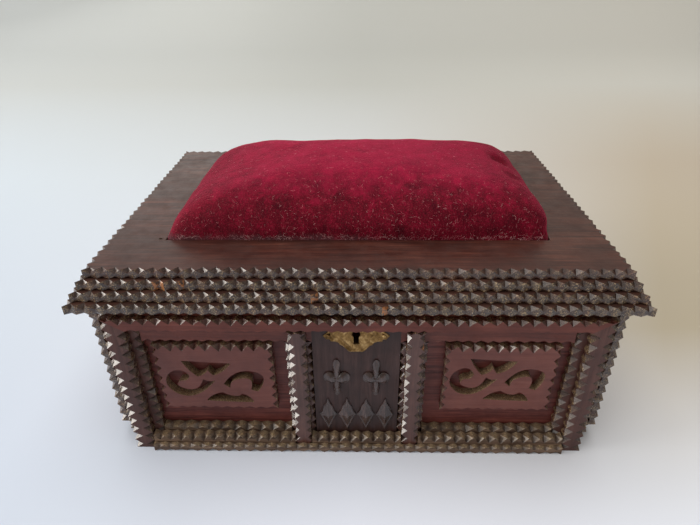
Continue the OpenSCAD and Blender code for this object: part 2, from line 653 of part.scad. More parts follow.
bottom_board();
front_wall();
back_wall();
left_wall();
right_wall();
front_top_rail_inner();
front_top_rail_outer();
back_top_rail_inner();
back_top_rail_outer();
left_top_rail_inner();
left_top_rail_outer();
right_top_rail_inner();
right_top_rail_outer();
front_base_rail_inner();
front_base_rail_outer();
back_base_rail_inner();
back_base_rail_outer();
left_base_rail_inner();
left_base_rail_outer();
right_base_rail_inner();
right_base_rail_outer();
front_left_post_inner();
front_left_post_outer();
front_right_post_inner();
front_right_post_outer();
back_left_post_inner();
back_left_post_outer();
back_right_post_inner();
back_right_post_outer();
left_pilaster_inner();
left_pilaster_outer();
right_pilaster_inner();
right_pilaster_outer();
front_left_plaque();
front_right_plaque();
left_plaque();
right_plaque();
centre_panel();
centre_rosettes();
centre_lozenges();
escutcheon();
escutcheon_pins();
lock_case();
lock_bolt();
lock_screws();
lid_link_plate();
lid_link_screws();
left_hinge_case_leaf();
left_hinge_lid_leaf();
left_hinge_pin();
right_hinge_case_leaf();
right_hinge_lid_leaf();
right_hinge_pin();
hinge_case_screws();
hinge_lid_screws();
lid_top_board();
lid_second_board();
lid_third_board();
lid_bottom_board();
pincushion();
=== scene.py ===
# A chip-carved keepsake box with a velvet pincushion on its lid, on a pale table.
# Lengths are metres in the frame of the CAD model: X to the right, Y to the back, Z up.
import math
import random
import zlib

import bmesh
import bpy
from mathutils import Matrix, Vector, noise
from mathutils.bvhtree import BVHTree
from mathutils.geometry import delaunay_2d_cdt, tessellate_polygon


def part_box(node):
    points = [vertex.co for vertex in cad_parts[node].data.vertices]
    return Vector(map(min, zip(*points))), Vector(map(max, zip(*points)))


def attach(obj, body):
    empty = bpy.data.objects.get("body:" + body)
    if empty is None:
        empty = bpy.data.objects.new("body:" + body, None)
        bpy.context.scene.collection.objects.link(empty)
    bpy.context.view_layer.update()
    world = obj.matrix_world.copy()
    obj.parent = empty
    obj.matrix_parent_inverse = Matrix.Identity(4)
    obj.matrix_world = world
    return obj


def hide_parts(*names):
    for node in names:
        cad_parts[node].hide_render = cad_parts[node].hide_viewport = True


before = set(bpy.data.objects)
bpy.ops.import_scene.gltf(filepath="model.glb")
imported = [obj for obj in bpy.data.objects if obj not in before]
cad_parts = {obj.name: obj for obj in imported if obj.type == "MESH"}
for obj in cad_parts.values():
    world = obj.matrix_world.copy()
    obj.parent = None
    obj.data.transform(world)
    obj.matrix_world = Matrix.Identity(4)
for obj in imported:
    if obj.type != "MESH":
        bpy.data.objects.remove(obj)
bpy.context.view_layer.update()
MM = 0.001


# Sizes, read from the frame
def low(node, axis):
    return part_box(node)[0][axis]


def high(node, axis):
    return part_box(node)[1][axis]


HALF_W = high("right_wall", 0)
HALF_D = high("back_wall", 1)
CASE_H = high("back_wall", 2)
LID_TOP = high("lid_top_board", 2)
LAYER = LID_TOP - low("lid_top_board", 2)
RAIL_INNER_LOW = low("back_top_rail_inner", 2)
RAIL_OUTER_LOW = low("back_top_rail_outer", 2)
RAIL_OUTER_TOP = high("back_top_rail_outer", 2)
BASE_INNER_H = high("back_base_rail_inner", 2)
BASE_OUTER_H = high("back_base_rail_outer", 2)
POST_INNER_W = HALF_W - high("back_base_rail_inner", 0)
POST_INSET = HALF_W - high("back_top_rail_outer", 0)
POST_OUTER_W = high("back_top_rail_outer", 0) - high("back_base_rail_outer", 0)
PANEL_U = high("centre_panel", 0)
PANEL_FACE = low("centre_panel", 1)
CUSHION_A = high("pincushion", 0)
CUSHION_B = high("pincushion", 1)
CROWN = high("pincushion", 2) - LID_TOP
SIDE_OUTER_FOOT = 8 * MM
SIDE_INNER_FOOT = 4 * MM
LIP_H = 4.5 * MM
LIP_T = -low("front_base_rail_outer", 1) - HALF_D - 2 * LAYER

# Chip carving: how far a notch runs in from the edge, the distance from chip to chip, both in
# millimetres, and how far up the board's thickness the notch's foot lies
LID_CUT = (2.7, 5.6, 0.5)
POST_CUT = (4.2, 5.6, 0.45)
PILASTER_CUT = (2.8, 5.6, 0.5)
RAIL_CUT = (3.0, 5.6, 0.55)
BASE_TOP_CUT = (3.9, 5.6, 0.35)
BASE_STEP_CUT = (2.6, 7.0, 0.3)
BASE_FOOT_CUT = (1.6, 5.6, 0.5)
LIP_TOP_CUT = (1.9, 5.6, 0.4)
LIP_FOOT_CUT = (1.7, 5.6, 0.4)
PLAQUE_CUT = (2.6, 5.6, 0.5)
PLAQUE_TOP_CUT = (3.6, 5.6, 0.4)
SHALLOW_CUT = (1.3, 5.6, 0.5)
NICK_CUT = (1.0, 5.6, 0.5)
# A notch's foot as a share of the run, its run on the board's back and the height of its foot's lower end
FOOT_RUN = 0.19
LOW_RUN_SHARE = 0.55
LOW_FOOT_SHARE = 0.48
# How unevenly the chips are cut by hand
NOTCH_SHIFT = 0.07
TIP_SHIFT = 0.05
TIP_BLUNTING = (0.05, 0.1, 0.15, 0.25, 0.5)
RUN_SPREAD = (0.82, 1.15)
FOOT_RUN_SPREAD = (0.5, 1.6)
FOOT_HEIGHT_SPREAD = (0.9, 1.1)
# How much of the room at a corner a notch may take, where both edges are cut and where one is
SHARED_ROOM = 0.9
LONE_ROOM = 0.7
NEARLY_SQUARE = math.radians(80)
PLATE_PROUD = 0.12 * MM
BARE_SPOT_SIZE = 2.7 * MM
BARE_TINT = 1.0
TINT_LIMIT = 0.9
# Tint of the cut-outs' walls, a pale yellow-grey: painted light on the walls
WALL_LIGHT_TINT = 0.66

# Where the varnish has worn through to bare wood, on the front of the lid and the case
BARE_SPOTS = [Vector(p) * MM for p in (
    (-86.5, -82.8, 99.8), (-77, -82.8, 99.8), (-78, -88.4, 90), (-73, -88.4, 89.5), (-46.7, -88.4, 89),
    (-41.3, -88.4, 90), (12.6, -85.6, 93), (-19, -82.8, 98), (27.8, -85.5, 68), (27.8, -85.5, 60),
    (28.3, -85.5, 25), (70, -85.5, 77), (72, -81, 67.5),
)]


def seeded(name):
    return random.Random(zlib.crc32(name.encode()))


def signed_power(value, exponent):
    return math.copysign(abs(value) ** exponent, value)


# Where a strip's own (u, z, outward) lands on each side of the case, for the inner and outer layer
def on_front(level):
    return lambda u, z, w: (u, -HALF_D - level * LAYER - w, z)


def on_back(level):
    return lambda u, z, w: (-u, HALF_D + level * LAYER + w, z)


def on_right(level):
    return lambda u, z, w: (HALF_W + level * LAYER + w, u, z)


def on_left(level):
    return lambda u, z, w: (-HALF_W - level * LAYER - w, -u, z)


def flat_at(height):
    return lambda u, v, w: (u, v, height + w)


def box_corners(u0, u1, z0, z1):
    return [(u0, z0), (u1, z0), (u1, z1), (u0, z1)]


def room(distance, corner, before, after, shared):
    """How deep a notch may run at a distance from a corner, short of what lies round the corner."""
    angle = (before - corner).angle(after - corner)
    if shared:
        return distance * math.tan(angle / 2) * SHARED_ROOM
    return distance * math.tan(angle) * LONE_ROOM if angle < NEARLY_SQUARE else math.inf


def bridge(add_face, inner, outer):
    """Joins two closed rings of points with faces."""
    for i in range(len(inner)):
        j = (i + 1) % len(inner)
        add_face((inner[i], inner[j], outer[j], outer[i]))


def mesh_data(name, mesh):
    data = bpy.data.meshes.new(name)
    mesh.to_mesh(data)
    mesh.free()
    return data


def add_object(name, data):
    made = bpy.data.objects.new(name, data)
    bpy.context.scene.collection.objects.link(made)
    return made


# The outline of a carved board: corners, tips of chips and the notches between them.
# Each is (point on the face, foot of the notch, its height as a share of the thickness, point on the back).
def stations(corners, cuts, rng):
    ring = []
    count_all = len(corners)
    for i, corner in enumerate(corners):
        start = Vector(corner)
        end = Vector(corners[(i + 1) % count_all])
        before, after = Vector(corners[i - 1]), Vector(corners[(i + 2) % count_all])
        ring.append((start, None, 0.0, start))
        if not cuts[i]:
            continue
        depth, pitch, foot_at = cuts[i]
        count = max(2, round((end - start).length / (pitch * MM)))
        step = (end - start) / count
        inward = Vector((-step.y, step.x)).normalized()
        for k in range(count):
            at = start + step * (k + 0.5 + rng.uniform(-NOTCH_SHIFT, NOTCH_SHIFT))
            deep = min(depth * rng.uniform(*RUN_SPREAD) * MM,
                       room((at - start).length, start, before, end, cuts[i - 1]),
                       room((at - end).length, end, start, after, cuts[(i + 1) % count_all]))
            run = inward * deep
            foot = at + run * FOOT_RUN * rng.uniform(*FOOT_RUN_SPREAD)
            foot_up = foot_at * rng.uniform(*FOOT_HEIGHT_SPREAD)
            ring.append((at + run, foot, foot_up, at + run * LOW_RUN_SHARE))
            if k < count - 1:
                blunt = rng.choice(TIP_BLUNTING) * MM
                tip = start + step * (k + 1 + rng.uniform(-TIP_SHIFT, TIP_SHIFT)) + inward * blunt
                ring.append((tip, None, 0.0, tip))
    return ring


class Carving:
    """A mesh of carved boards, whose face corners carry how proud they are, a tint and a tone."""

    def __init__(self, name):
        self.name = name
        self.rng = seeded(name)
        self.mesh = bmesh.new()
        self.layer = self.mesh.loops.layers.float_color.new("carving")
        self.tone = self.rng.uniform(0.2, 0.8)

    def face(self, verts, wear_and_wall_light=None, tint=0.5):
        made = self.mesh.faces.new(verts)
        for i, loop in enumerate(made.loops):
            proud = 0.0 if wear_and_wall_light is None else wear_and_wall_light[i]
            loop[self.layer] = (proud, tint, self.tone, 0.0 if wear_and_wall_light is None else 1.0)
        return made

    def chip_tint(self, verts):
        middle = sum((v.co for v in verts), Vector()) / len(verts)
        if any((middle - spot).length < BARE_SPOT_SIZE for spot in BARE_SPOTS):
            return BARE_TINT
        return self.rng.uniform(0.0, TINT_LIMIT)

    def board(self, corners, cuts, place, thick=LAYER, holes=(), lift=0.0):
        ring = stations(corners, cuts, self.rng)
        add = self.mesh.verts.new
        tall = thick - lift
        top = [add(place(*face, thick)) for face, _, _, _ in ring]
        foot = [at and add(place(*at, lift + tall * up)) for _, at, up, _ in ring]
        low_foot = [at and add(place(*at, lift + tall * up * LOW_FOOT_SHARE)) for _, at, up, _ in ring]
        base = [add(place(*back, lift)) for _, _, _, back in ring]
        for i in range(len(ring)):
            j = (i + 1) % len(ring)
            tint = self.chip_tint((top[i], top[j]))
            if foot[j]:
                self.face((top[i], foot[j], top[j]), (1, 0.3, 0), tint)
                self.face((base[i], base[j], low_foot[j]), (1, 0, 0.3), tint)
                self.face((top[i], base[i], low_foot[j], foot[j]), (1, 1, 0.35, 0.35), tint)
            elif foot[i]:
                self.face((top[i], foot[i], top[j]), (0, 0.3, 1), tint)
                self.face((base[i], base[j], low_foot[i]), (0, 1, 0.3), tint)
                self.face((foot[i], low_foot[i], base[j], top[j]), (0.35, 0.35, 1, 1), tint)
            else:
                self.face((top[i], base[i], base[j], top[j]))
        self.covers(ring, top, base, place, thick, holes, lift)

    def covers(self, ring, top, base, place, thick, holes, lift):
        add = self.mesh.verts.new
        rims = [([add(place(*p, thick)) for p in hole], [add(place(*p, lift)) for p in hole])
                for hole in holes]
        cut = [[Vector(p).to_3d() for p in hole] for hole in holes]
        for verts, at, level in ((top, 0, 0), (base, 3, 1)):
            verts = verts + [v for rim in rims for v in rim[level]]
            for corners in tessellate_polygon([[station[at].to_3d() for station in ring]] + cut):
                self.face([verts[i] for i in corners])
        # The cut-outs' walls are marked as proud and tinted pale: painted light on them
        for upper, lower in rims:
            for i in range(len(upper)):
                j = (i + 1) % len(upper)
                self.face((upper[i], upper[j], lower[j], lower[i]), (1, 1, 0.9, 0.9), WALL_LIGHT_TINT)

    def done(self, material, body, node=None, bevel=0.0):
        bmesh.ops.recalc_face_normals(self.mesh, faces=self.mesh.faces)
        data = mesh_data(self.name, self.mesh)
        return settle(data, self.name, material, body, node, bevel)


# Turns mesh data into a piece that rides on its body and stands for its CAD node
def settle(data, name, material, body, node=None, bevel=0.0):
    piece = add_object(name, data)
    data.materials.append(material)
    if bevel:
        add_bevel(piece, bevel)
    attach(piece, body)
    if node:
        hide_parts(node)
    return piece


def add_bevel(piece, width):
    modifier = piece.modifiers.new("worn_edges", "BEVEL")
    modifier.width = width
    modifier.segments = 2
    modifier.limit_method = "ANGLE"
    modifier.angle_limit = math.radians(40)


# Materials
def srgb(red, green, blue):
    def linear(v):
        v /= 255
        return v / 12.92 if v <= 0.04045 else ((v + 0.055) / 1.055) ** 2.4
    return (linear(red), linear(green), linear(blue), 1.0)


class Shader:
    """A material under construction, with short calls for the nodes that it needs."""

    def __init__(self, name):
        self.material = bpy.data.materials.new(name)
        self.material.use_nodes = True
        self.tree = self.material.node_tree
        self.tree.nodes.clear()
        self.coords = self.node("ShaderNodeTexCoord").outputs["Object"]

    def node(self, kind, inputs=None, **settings):
        made = self.tree.nodes.new(kind)
        for key, value in settings.items():
            setattr(made, key, value)
        for key, value in (inputs or {}).items():
            if isinstance(value, bpy.types.NodeSocket):
                self.tree.links.new(value, made.inputs[key])
            else:
                made.inputs[key].default_value = value
        return made

    def scaled(self, x, y, z):
        return self.node("ShaderNodeMapping", {"Vector": self.coords, "Scale": (x, y, z)}).outputs[0]

    def noise(self, vector, scale, detail=4.0, rough=0.55, distortion=0.0):
        return self.node("ShaderNodeTexNoise", {
            "Vector": vector, "Scale": scale, "Detail": detail, "Roughness": rough,
            "Distortion": distortion}).outputs[0]

    def ramp(self, factor, stops):
        made = self.node("ShaderNodeValToRGB", {"Fac": factor})
        band = made.color_ramp.elements
        while len(band) < len(stops):
            band.new(0.5)
        for element, (position, colour) in zip(band, stops):
            element.position = position
            element.color = colour if isinstance(colour, tuple) else (colour, colour, colour, 1.0)
        return made.outputs[0]

    def mix(self, factor, a, b, mode="MIX"):
        made = self.node("ShaderNodeMix", data_type="RGBA", blend_type=mode)
        for index, value in ((0, factor), (6, a), (7, b)):
            if isinstance(value, bpy.types.NodeSocket):
                self.tree.links.new(value, made.inputs[index])
            else:
                made.inputs[index].default_value = value
        return made.outputs[2]

    def math(self, operation, a, b=0.5, clamp=False):
        return self.node("ShaderNodeMath", {0: a, 1: b}, operation=operation, use_clamp=clamp).outputs[0]

    def bump(self, height, distance, strength=1.0, normal=None):
        inputs = {"Height": height, "Distance": distance, "Strength": strength}
        if normal:
            inputs["Normal"] = normal
        return self.node("ShaderNodeBump", inputs).outputs[0]

    def finish(self, **inputs):
        sockets = {key.replace("_", " "): value for key, value in inputs.items()}
        surface = self.node("ShaderNodeBsdfPrincipled", sockets)
        self.node("ShaderNodeOutputMaterial", {"Surface": surface.outputs[0]})
        return self.material


# How the grain is stretched along each axis
AXES = {"x": (0.05, 1.0, 1.0), "y": (1.0, 0.05, 1.0), "z": (1.0, 1.0, 0.05)}
FACET_STOPS = [
    (0.0, srgb(70, 54, 40)), (0.2, srgb(102, 88, 66)), (0.4, srgb(80, 56, 46)), (0.6, srgb(116, 102, 76)),
    (0.78, srgb(98, 66, 52)), (0.9, srgb(124, 98, 72)), (1.0, srgb(134, 92, 60))]
GRIT_STOPS = [(0.36, srgb(30, 22, 16)), (0.5, srgb(112, 102, 88)), (0.66, srgb(214, 202, 172))]
DARK_FLECK = srgb(46, 30, 24)
PALE_FLECK = srgb(186, 170, 144)
SCRUBBED = srgb(174, 158, 132)
BARE_WOOD = srgb(172, 108, 52)
# The dark colour that the notches are drawn towards, most at their feet
NOTCH_DARK = srgb(30, 17, 12)


# Varnished wood with its grain along an axis. Carved facets are glossier and more varied than flats,
# worn pale at the chips' tips and darker towards the notches' feet.
def wood(name, axis, dark, mid, light, shine=0.42, chip_shine=0.3, coat=0.1, bare=0.6, streaky=1.0,
         smooth=1.0, carved=True, coat_rough=0.26, pale=0.0):
    s = Shader(name)
    along = s.scaled(*AXES[axis])
    streaks = s.noise(along, 420.0, 6.0, 0.62, 0.8)
    fine = s.noise(along, 2100.0, 3.0, 0.6)
    patches = s.noise(s.coords, 46.0, 4.0, 0.6)
    spread = 0.14 / streaky
    grain = s.ramp(s.math("ADD", s.math("MULTIPLY", streaks, 0.72), s.math("MULTIPLY", fine, 0.28)), [
        (0.5 - spread, dark), (0.5, mid), (0.5 + spread, light)])
    pores = s.ramp(fine, [(0.33, 1.0), (0.42, 0.0)])
    grain = s.mix(s.math("MULTIPLY", pores, 0.35 * streaky), grain, dark)
    grain = s.mix(s.ramp(patches, [(0.4, 0.0), (0.62, 0.55)]), grain, dark)
    carving = s.node("ShaderNodeAttribute", attribute_name="carving")
    parts = s.node("ShaderNodeSeparateColor", {"Color": carving.outputs["Color"]})
    proud, tint, tone = parts.outputs[0], parts.outputs[1], parts.outputs[2]
    chipped = carving.outputs["Alpha"] if carved else 0.0
    flecks = s.noise(s.coords, 620.0, 3.0, 0.6)
    specks = s.noise(s.coords, 1700.0, 2.0, 0.6)
    facet = s.ramp(tint, FACET_STOPS)
    grit = s.ramp(specks, GRIT_STOPS)
    facet = s.mix(s.ramp(flecks, [(0.4, 0.6), (0.5, 0.0)]), facet, DARK_FLECK)
    facet = s.mix(s.ramp(specks, [(0.5, 0.0), (0.62, 0.5)]), facet, PALE_FLECK)
    facet = s.mix(pale, s.mix(0.8, facet, grit, "SOFT_LIGHT"), SCRUBBED)
    # The pale facet colour shows on worn chip tips and, as painted light, on the fretwork's cut-out walls
    worn_and_wall_lit = s.ramp(s.math("ADD", proud, s.math("MULTIPLY", s.math("SUBTRACT", flecks, 0.5), 1.1)), [
        (0.3, 0.0), (0.85, 1.0)])
    worn_and_wall_lit = s.math("MULTIPLY", s.math("MULTIPLY", worn_and_wall_lit, chipped), bare)
    colour = s.mix(worn_and_wall_lit, grain, facet)
    shown = s.math("MULTIPLY", s.ramp(tint, [(0.94, 0.0), (0.97, 1.0)]),
                   s.ramp(flecks, [(0.47, 0.0), (0.54, 0.9)]))
    colour = s.mix(s.math("MULTIPLY", shown, chipped), colour, BARE_WOOD)
    # Corners deep in a notch are darkened, most at the notch's foot
    hollow = s.math("MULTIPLY", chipped, s.math("SUBTRACT", 1.0, proud), clamp=True)
    colour = s.mix(s.math("MULTIPLY", hollow, 0.62), colour, NOTCH_DARK)
    colour = s.mix(0.6, colour, s.mix(tone, srgb(160, 152, 148), srgb(214, 206, 200)), "SOFT_LIGHT")
    cloudy = s.ramp(s.noise(s.coords, 130.0, 5.0, 0.65), [(0.3, shine - 0.1), (0.7, shine + 0.16)])
    facet_gloss = s.ramp(flecks, [(0.35, chip_shine - 0.08), (0.65, chip_shine + 0.2)])
    gloss = s.mix(chipped, cloudy, facet_gloss)
    lacquer = s.math("ADD", s.math("MULTIPLY", chipped, 0.6), coat)
    relief = s.math("ADD", s.math("MULTIPLY", streaks, 0.6), s.math("MULTIPLY", fine, 0.4))
    pitted = s.bump(s.math("MULTIPLY", s.math("ADD", flecks, specks), chipped), 0.36 * MM, 0.9)
    normal = s.bump(relief, 0.16 * MM * smooth, 0.8, s.bump(flecks, 0.12 * MM * smooth, 0.5, pitted))
    return s.finish(Base_Color=colour, Roughness=gloss, Normal=normal, Specular_IOR_Level=0.27,
                    Coat_Weight=lacquer, Coat_Roughness=coat_rough, Coat_IOR=1.6)


def metal(name, colours, roughness, relief):
    s = Shader(name)
    tarnish = s.noise(s.coords, 260.0, 6.0, 0.65, 0.4)
    spots = s.noise(s.coords, 1300.0, 3.0, 0.6)
    colour = s.ramp(tarnish, [(0.3, colours[0]), (0.5, colours[1]), (0.68, colours[2])])
    colour = s.mix(s.ramp(spots, [(0.58, 0.0), (0.7, 0.6)]), colour, colours[0])
    gloss = s.ramp(tarnish, [(0.3, roughness + 0.16), (0.7, roughness - 0.08)])
    normal = s.bump(spots, relief, 0.7)
    return s.finish(Base_Color=colour, Metallic=1.0, Roughness=gloss, Normal=normal)


def velvet():
    s = Shader("crimson_velvet")
    crush = s.noise(s.coords, 120.0, 6.0, 0.7, 0.4)
    brushed = s.noise(s.scaled(1.0, 0.35, 0.5), 240.0, 4.0, 0.6, 0.3)
    pile = s.noise(s.coords, 1500.0, 3.0, 0.75)
    shade = s.math("ADD", s.math("MULTIPLY", crush, 0.32), s.math("MULTIPLY", brushed, 0.24))
    shade = s.math("ADD", shade, s.math("MULTIPLY", pile, 0.44))
    colour = s.ramp(shade, [(0.38, srgb(54, 0, 14)), (0.5, srgb(94, 3, 25)), (0.63, srgb(140, 12, 46))])
    spread = s.node("ShaderNodeSeparateXYZ", {"Vector": s.coords})
    across, height = spread.outputs[0], spread.outputs[2]
    seam = s.math("DIVIDE", s.math("SUBTRACT", height, LID_TOP), 5 * MM)
    seam = s.math("ADD", seam, s.math("MULTIPLY", s.math("SUBTRACT", crush, 0.5), 2.2))
    seam = s.math("ADD", seam, s.ramp(s.math("DIVIDE", across, CUSHION_A), [(-0.9, 0.0), (0.2, 0.5)]))
    # Painted sheen: the velvet is painted a brighter magenta towards the top of its crown
    level = s.math("DIVIDE", s.math("SUBTRACT", height, LID_TOP), CROWN)
    crown = s.ramp(s.math("ADD", level, s.math("MULTIPLY", s.math("SUBTRACT", crush, 0.5), 0.8)), [
        (0.6, 0.0), (1.1, 0.3)])
    colour = s.mix(crown, colour, srgb(196, 22, 78))
    colour = s.mix(s.ramp(seam, [(0.05, 0.8), (0.6, 0.0)]), colour, srgb(84, 52, 58))
    lint = s.ramp(s.noise(s.scaled(1.0, 1.0, 0.5), 1100.0, 2.0, 0.8, 2.5), [(0.6, 0.0), (0.7, 0.4)])
    colour = s.mix(lint, colour, srgb(176, 110, 112))
    normal = s.bump(pile, 0.5 * MM, 0.8, s.bump(crush, 1.2 * MM, 0.5))
    return s.finish(Base_Color=colour, Roughness=0.85, Specular_IOR_Level=0.12, Normal=normal,
                    Sheen_Weight=0.7, Sheen_Roughness=0.3, Sheen_Tint=srgb(244, 84, 124))


# The table's colours from front to back, on the left, in the middle and on the right. They paint light and
# shade: brighter and bluer at the front, darker towards the back and on the left near the front, and the
# box's shadow as a tan band on the right.
LEFT_STOPS = [(0.05, srgb(202, 214, 232)), (0.45, srgb(208, 220, 232)), (0.95, srgb(200, 206, 208))]
MIDDLE_STOPS = [(0.05, srgb(230, 238, 254)), (0.5, srgb(208, 213, 217)), (0.95, srgb(192, 195, 192))]
RIGHT_STOPS = [(0.02, srgb(228, 235, 248)), (0.17, srgb(186, 176, 154)), (0.5, srgb(188, 177, 160)),
               (0.95, srgb(206, 206, 200))]


def pale_table():
    s = Shader("pale_table")
    spread = s.node("ShaderNodeSeparateXYZ", {"Vector": s.coords})
    across, deep = spread.outputs[0], s.math("ADD", spread.outputs[1], 0.15)
    side = s.math("DIVIDE", across, s.math("MAXIMUM", s.math("ADD", deep, 0.3), 0.2))
    left = s.ramp(deep, LEFT_STOPS)
    middle = s.ramp(deep, MIDDLE_STOPS)
    right = s.ramp(deep, RIGHT_STOPS)
    # The side ramps lay painted shade on the left and the box's painted shadow on the right
    colour = s.mix(s.ramp(side, [(0.0, 0.0), (0.45, 1.0)]), middle, right)
    colour = s.mix(s.ramp(s.math("MULTIPLY", side, -1.0), [(0.0, 0.0), (0.55, 1.0)]), colour, left)
    cloudy = s.noise(s.coords, 6.0, 3.0, 0.5)
    colour = s.mix(s.math("MULTIPLY", cloudy, 0.08), colour, srgb(198, 202, 210))
    normal = s.bump(s.noise(s.coords, 700.0, 3.0, 0.6), 0.1 * MM, 0.3)
    return s.finish(Base_Color=colour, Roughness=0.6, Normal=normal, Specular_IOR_Level=0.25)


POST = {"dark": srgb(50, 26, 22), "mid": srgb(80, 50, 44), "light": srgb(104, 72, 64)}
RAIL = {"dark": srgb(66, 26, 20), "mid": srgb(98, 48, 38), "light": srgb(120, 66, 54)}
BOARD = {"dark": srgb(68, 26, 22), "mid": srgb(110, 54, 48), "light": srgb(132, 74, 64)}
strip_wood = {axis: wood("strip_wood_" + axis, axis, **colours, shine=0.42, bare=0.85, streaky=0.6)
              for axis, colours in (("x", RAIL), ("y", RAIL), ("z", POST))}
base_wood = {axis: wood("base_wood_" + axis, axis, srgb(54, 40, 32), srgb(94, 76, 64), srgb(130, 110, 92),
                        shine=0.5, chip_shine=0.36, coat=0.0, bare=0.95, coat_rough=0.34, pale=0.33)
             for axis in "xy"}
# The lower lid boards take a darker copy of the lid's wood: painted shade on the ledges between the rows
ledge_wood_painted_shade = wood("ledge_wood_painted_shade", "x", srgb(38, 20, 15), srgb(60, 36, 29), srgb(84, 56, 46), shine=0.5,
                  bare=0.9)
pilaster_wood = wood("pilaster_wood", "z", **POST, shine=0.42, coat=0.4, bare=0.85, streaky=0.6,
                     coat_rough=0.22)
case_wood = wood("case_wood", "x", **BOARD, shine=0.5, carved=False)
plaque_wood = {axis: wood("plaque_wood_" + axis, axis, srgb(80, 38, 32), srgb(106, 58, 50),
                          srgb(124, 76, 66), shine=0.42, coat=0.2, bare=0.85, streaky=0.4, pale=0.25)
               for axis in "xy"}
panel_wood = wood("panel_wood", "z", srgb(40, 23, 20), srgb(66, 43, 40), srgb(88, 64, 60), shine=0.42,
                  streaky=0.7, carved=False)
ornament_wood = wood("ornament_wood", "z", srgb(34, 20, 18), srgb(60, 42, 39), srgb(98, 78, 74), shine=0.26,
                     coat=0.7)
lid_wood = wood("lid_wood", "x", srgb(44, 19, 14), srgb(70, 36, 28), srgb(94, 54, 43), shine=0.42,
                coat=0.25, smooth=0.6)
brass = metal("old_brass", (srgb(80, 58, 34), srgb(134, 104, 64), srgb(192, 160, 110)), 0.34, 0.12 * MM)
iron = metal("dull_iron", (srgb(44, 38, 34), srgb(86, 80, 74), srgb(122, 116, 108)), 0.5, 0.15 * MM)


# The case's carved strips, one piece for each CAD node
def strip_piece(node, solids, material, body="case"):
    carving = Carving("carved_" + node)
    for corners, cuts, place, *thick in solids:
        carving.board(corners, cuts, place, *thick)
    return carving.done(material, body, node)


SIDES = (("front", on_front, HALF_W, "x"), ("back", on_back, HALF_W, "x"),
         ("left", on_left, HALF_D, "y"), ("right", on_right, HALF_D, "y"))
RAIL_TOP = CASE_H - PLATE_PROUD


def rail_spans(side, half):
    edge = half - POST_INNER_W
    if side != "front":
        return [(-edge, edge)], [(-edge, edge)]
    pilaster = high("right_pilaster_inner", 0)
    return [(-edge, -PANEL_U), (PANEL_U, edge)], [(-edge, -pilaster), (pilaster, edge)]


def outer_base_spans(side, half):
    edge = half - POST_INSET - POST_OUTER_W
    if side != "front":
        return [(-edge, edge)]
    near, far = low("right_pilaster_outer", 0), high("right_pilaster_outer", 0)
    return [(-edge, -far), (-near, near), (far, edge)]


def build_rails():
    for side, on_side, half, axis in SIDES:
        top_spans, base_spans = rail_spans(side, half)
        strip_piece(side + "_top_rail_inner", [
            (box_corners(a, b, RAIL_INNER_LOW, RAIL_TOP), (SHALLOW_CUT, None, None, None), on_side(0))
            for a, b in top_spans], strip_wood[axis])
        out = half - POST_INSET
        mitre = [(POST_OUTER_W - out, RAIL_OUTER_LOW), (out - POST_OUTER_W, RAIL_OUTER_LOW),
                 (out, RAIL_OUTER_TOP), (-out, RAIL_OUTER_TOP)]
        strip_piece(side + "_top_rail_outer", [(mitre, (NICK_CUT, None, RAIL_CUT, None), on_side(1))],
                    strip_wood[axis])
        strip_piece(side + "_base_rail_inner", [
            (box_corners(a, b, 0, BASE_INNER_H), (None, None, BASE_STEP_CUT, None), on_side(0))
            for a, b in base_spans], base_wood[axis])
        outer = [(box_corners(a, b, 0, BASE_OUTER_H), (BASE_FOOT_CUT, None, BASE_TOP_CUT, None), on_side(1))
                 for a, b in outer_base_spans(side, half)]
        if side == "front":
            end = half - POST_INSET - POST_OUTER_W
            outer.append((box_corners(-end, end, 0, LIP_H), (LIP_FOOT_CUT, None, LIP_TOP_CUT, None),
                          on_side(2), LIP_T))
        strip_piece(side + "_base_rail_outer", outer, base_wood[axis])


def post_strips(half, sign, inner_foot, outer_foot):
    out = half - POST_INSET
    inner = sorted((sign * half, sign * (half - POST_INNER_W)))
    near, far = sign * (out - POST_OUTER_W), sign * out
    outer = [(near, outer_foot), (far, outer_foot), (far, RAIL_OUTER_TOP), (near, RAIL_OUTER_LOW)]
    if sign < 0:
        outer = [outer[1], outer[0], outer[3], outer[2]]
    return box_corners(*inner, inner_foot, RAIL_TOP), outer


def build_posts():
    for corner, wide, wide_sign, end, end_sign in (
            ("front_left", on_front, -1, on_left, 1), ("front_right", on_front, 1, on_right, -1),
            ("back_left", on_back, 1, on_left, -1), ("back_right", on_back, -1, on_right, 1)):
        inner_a, outer_a = post_strips(HALF_W, wide_sign, 0, 0)
        inner_b, outer_b = post_strips(HALF_D, end_sign, SIDE_INNER_FOOT, SIDE_OUTER_FOOT)
        cuts = (None, POST_CUT, None, POST_CUT)
        strip_piece(corner + "_post_inner", [(inner_a, cuts, wide(0)), (inner_b, cuts, end(0))],
                    strip_wood["z"])
        strip_piece(corner + "_post_outer", [(outer_a, cuts, wide(1)), (outer_b, cuts, end(1))],
                    strip_wood["z"])


def build_pilasters():
    for side in ("left", "right"):
        for level, layer, top in ((0, "inner", RAIL_INNER_LOW), (1, "outer", RAIL_OUTER_LOW)):
            node = f"{side}_pilaster_{layer}"
            corners = box_corners(low(node, 0), high(node, 0), 0, top)
            top_cut = SHALLOW_CUT if layer == "outer" else None
            strip_piece(node, [(corners, (None, PILASTER_CUT, top_cut, PILASTER_CUT), on_front(level))],
                        pilaster_wood)


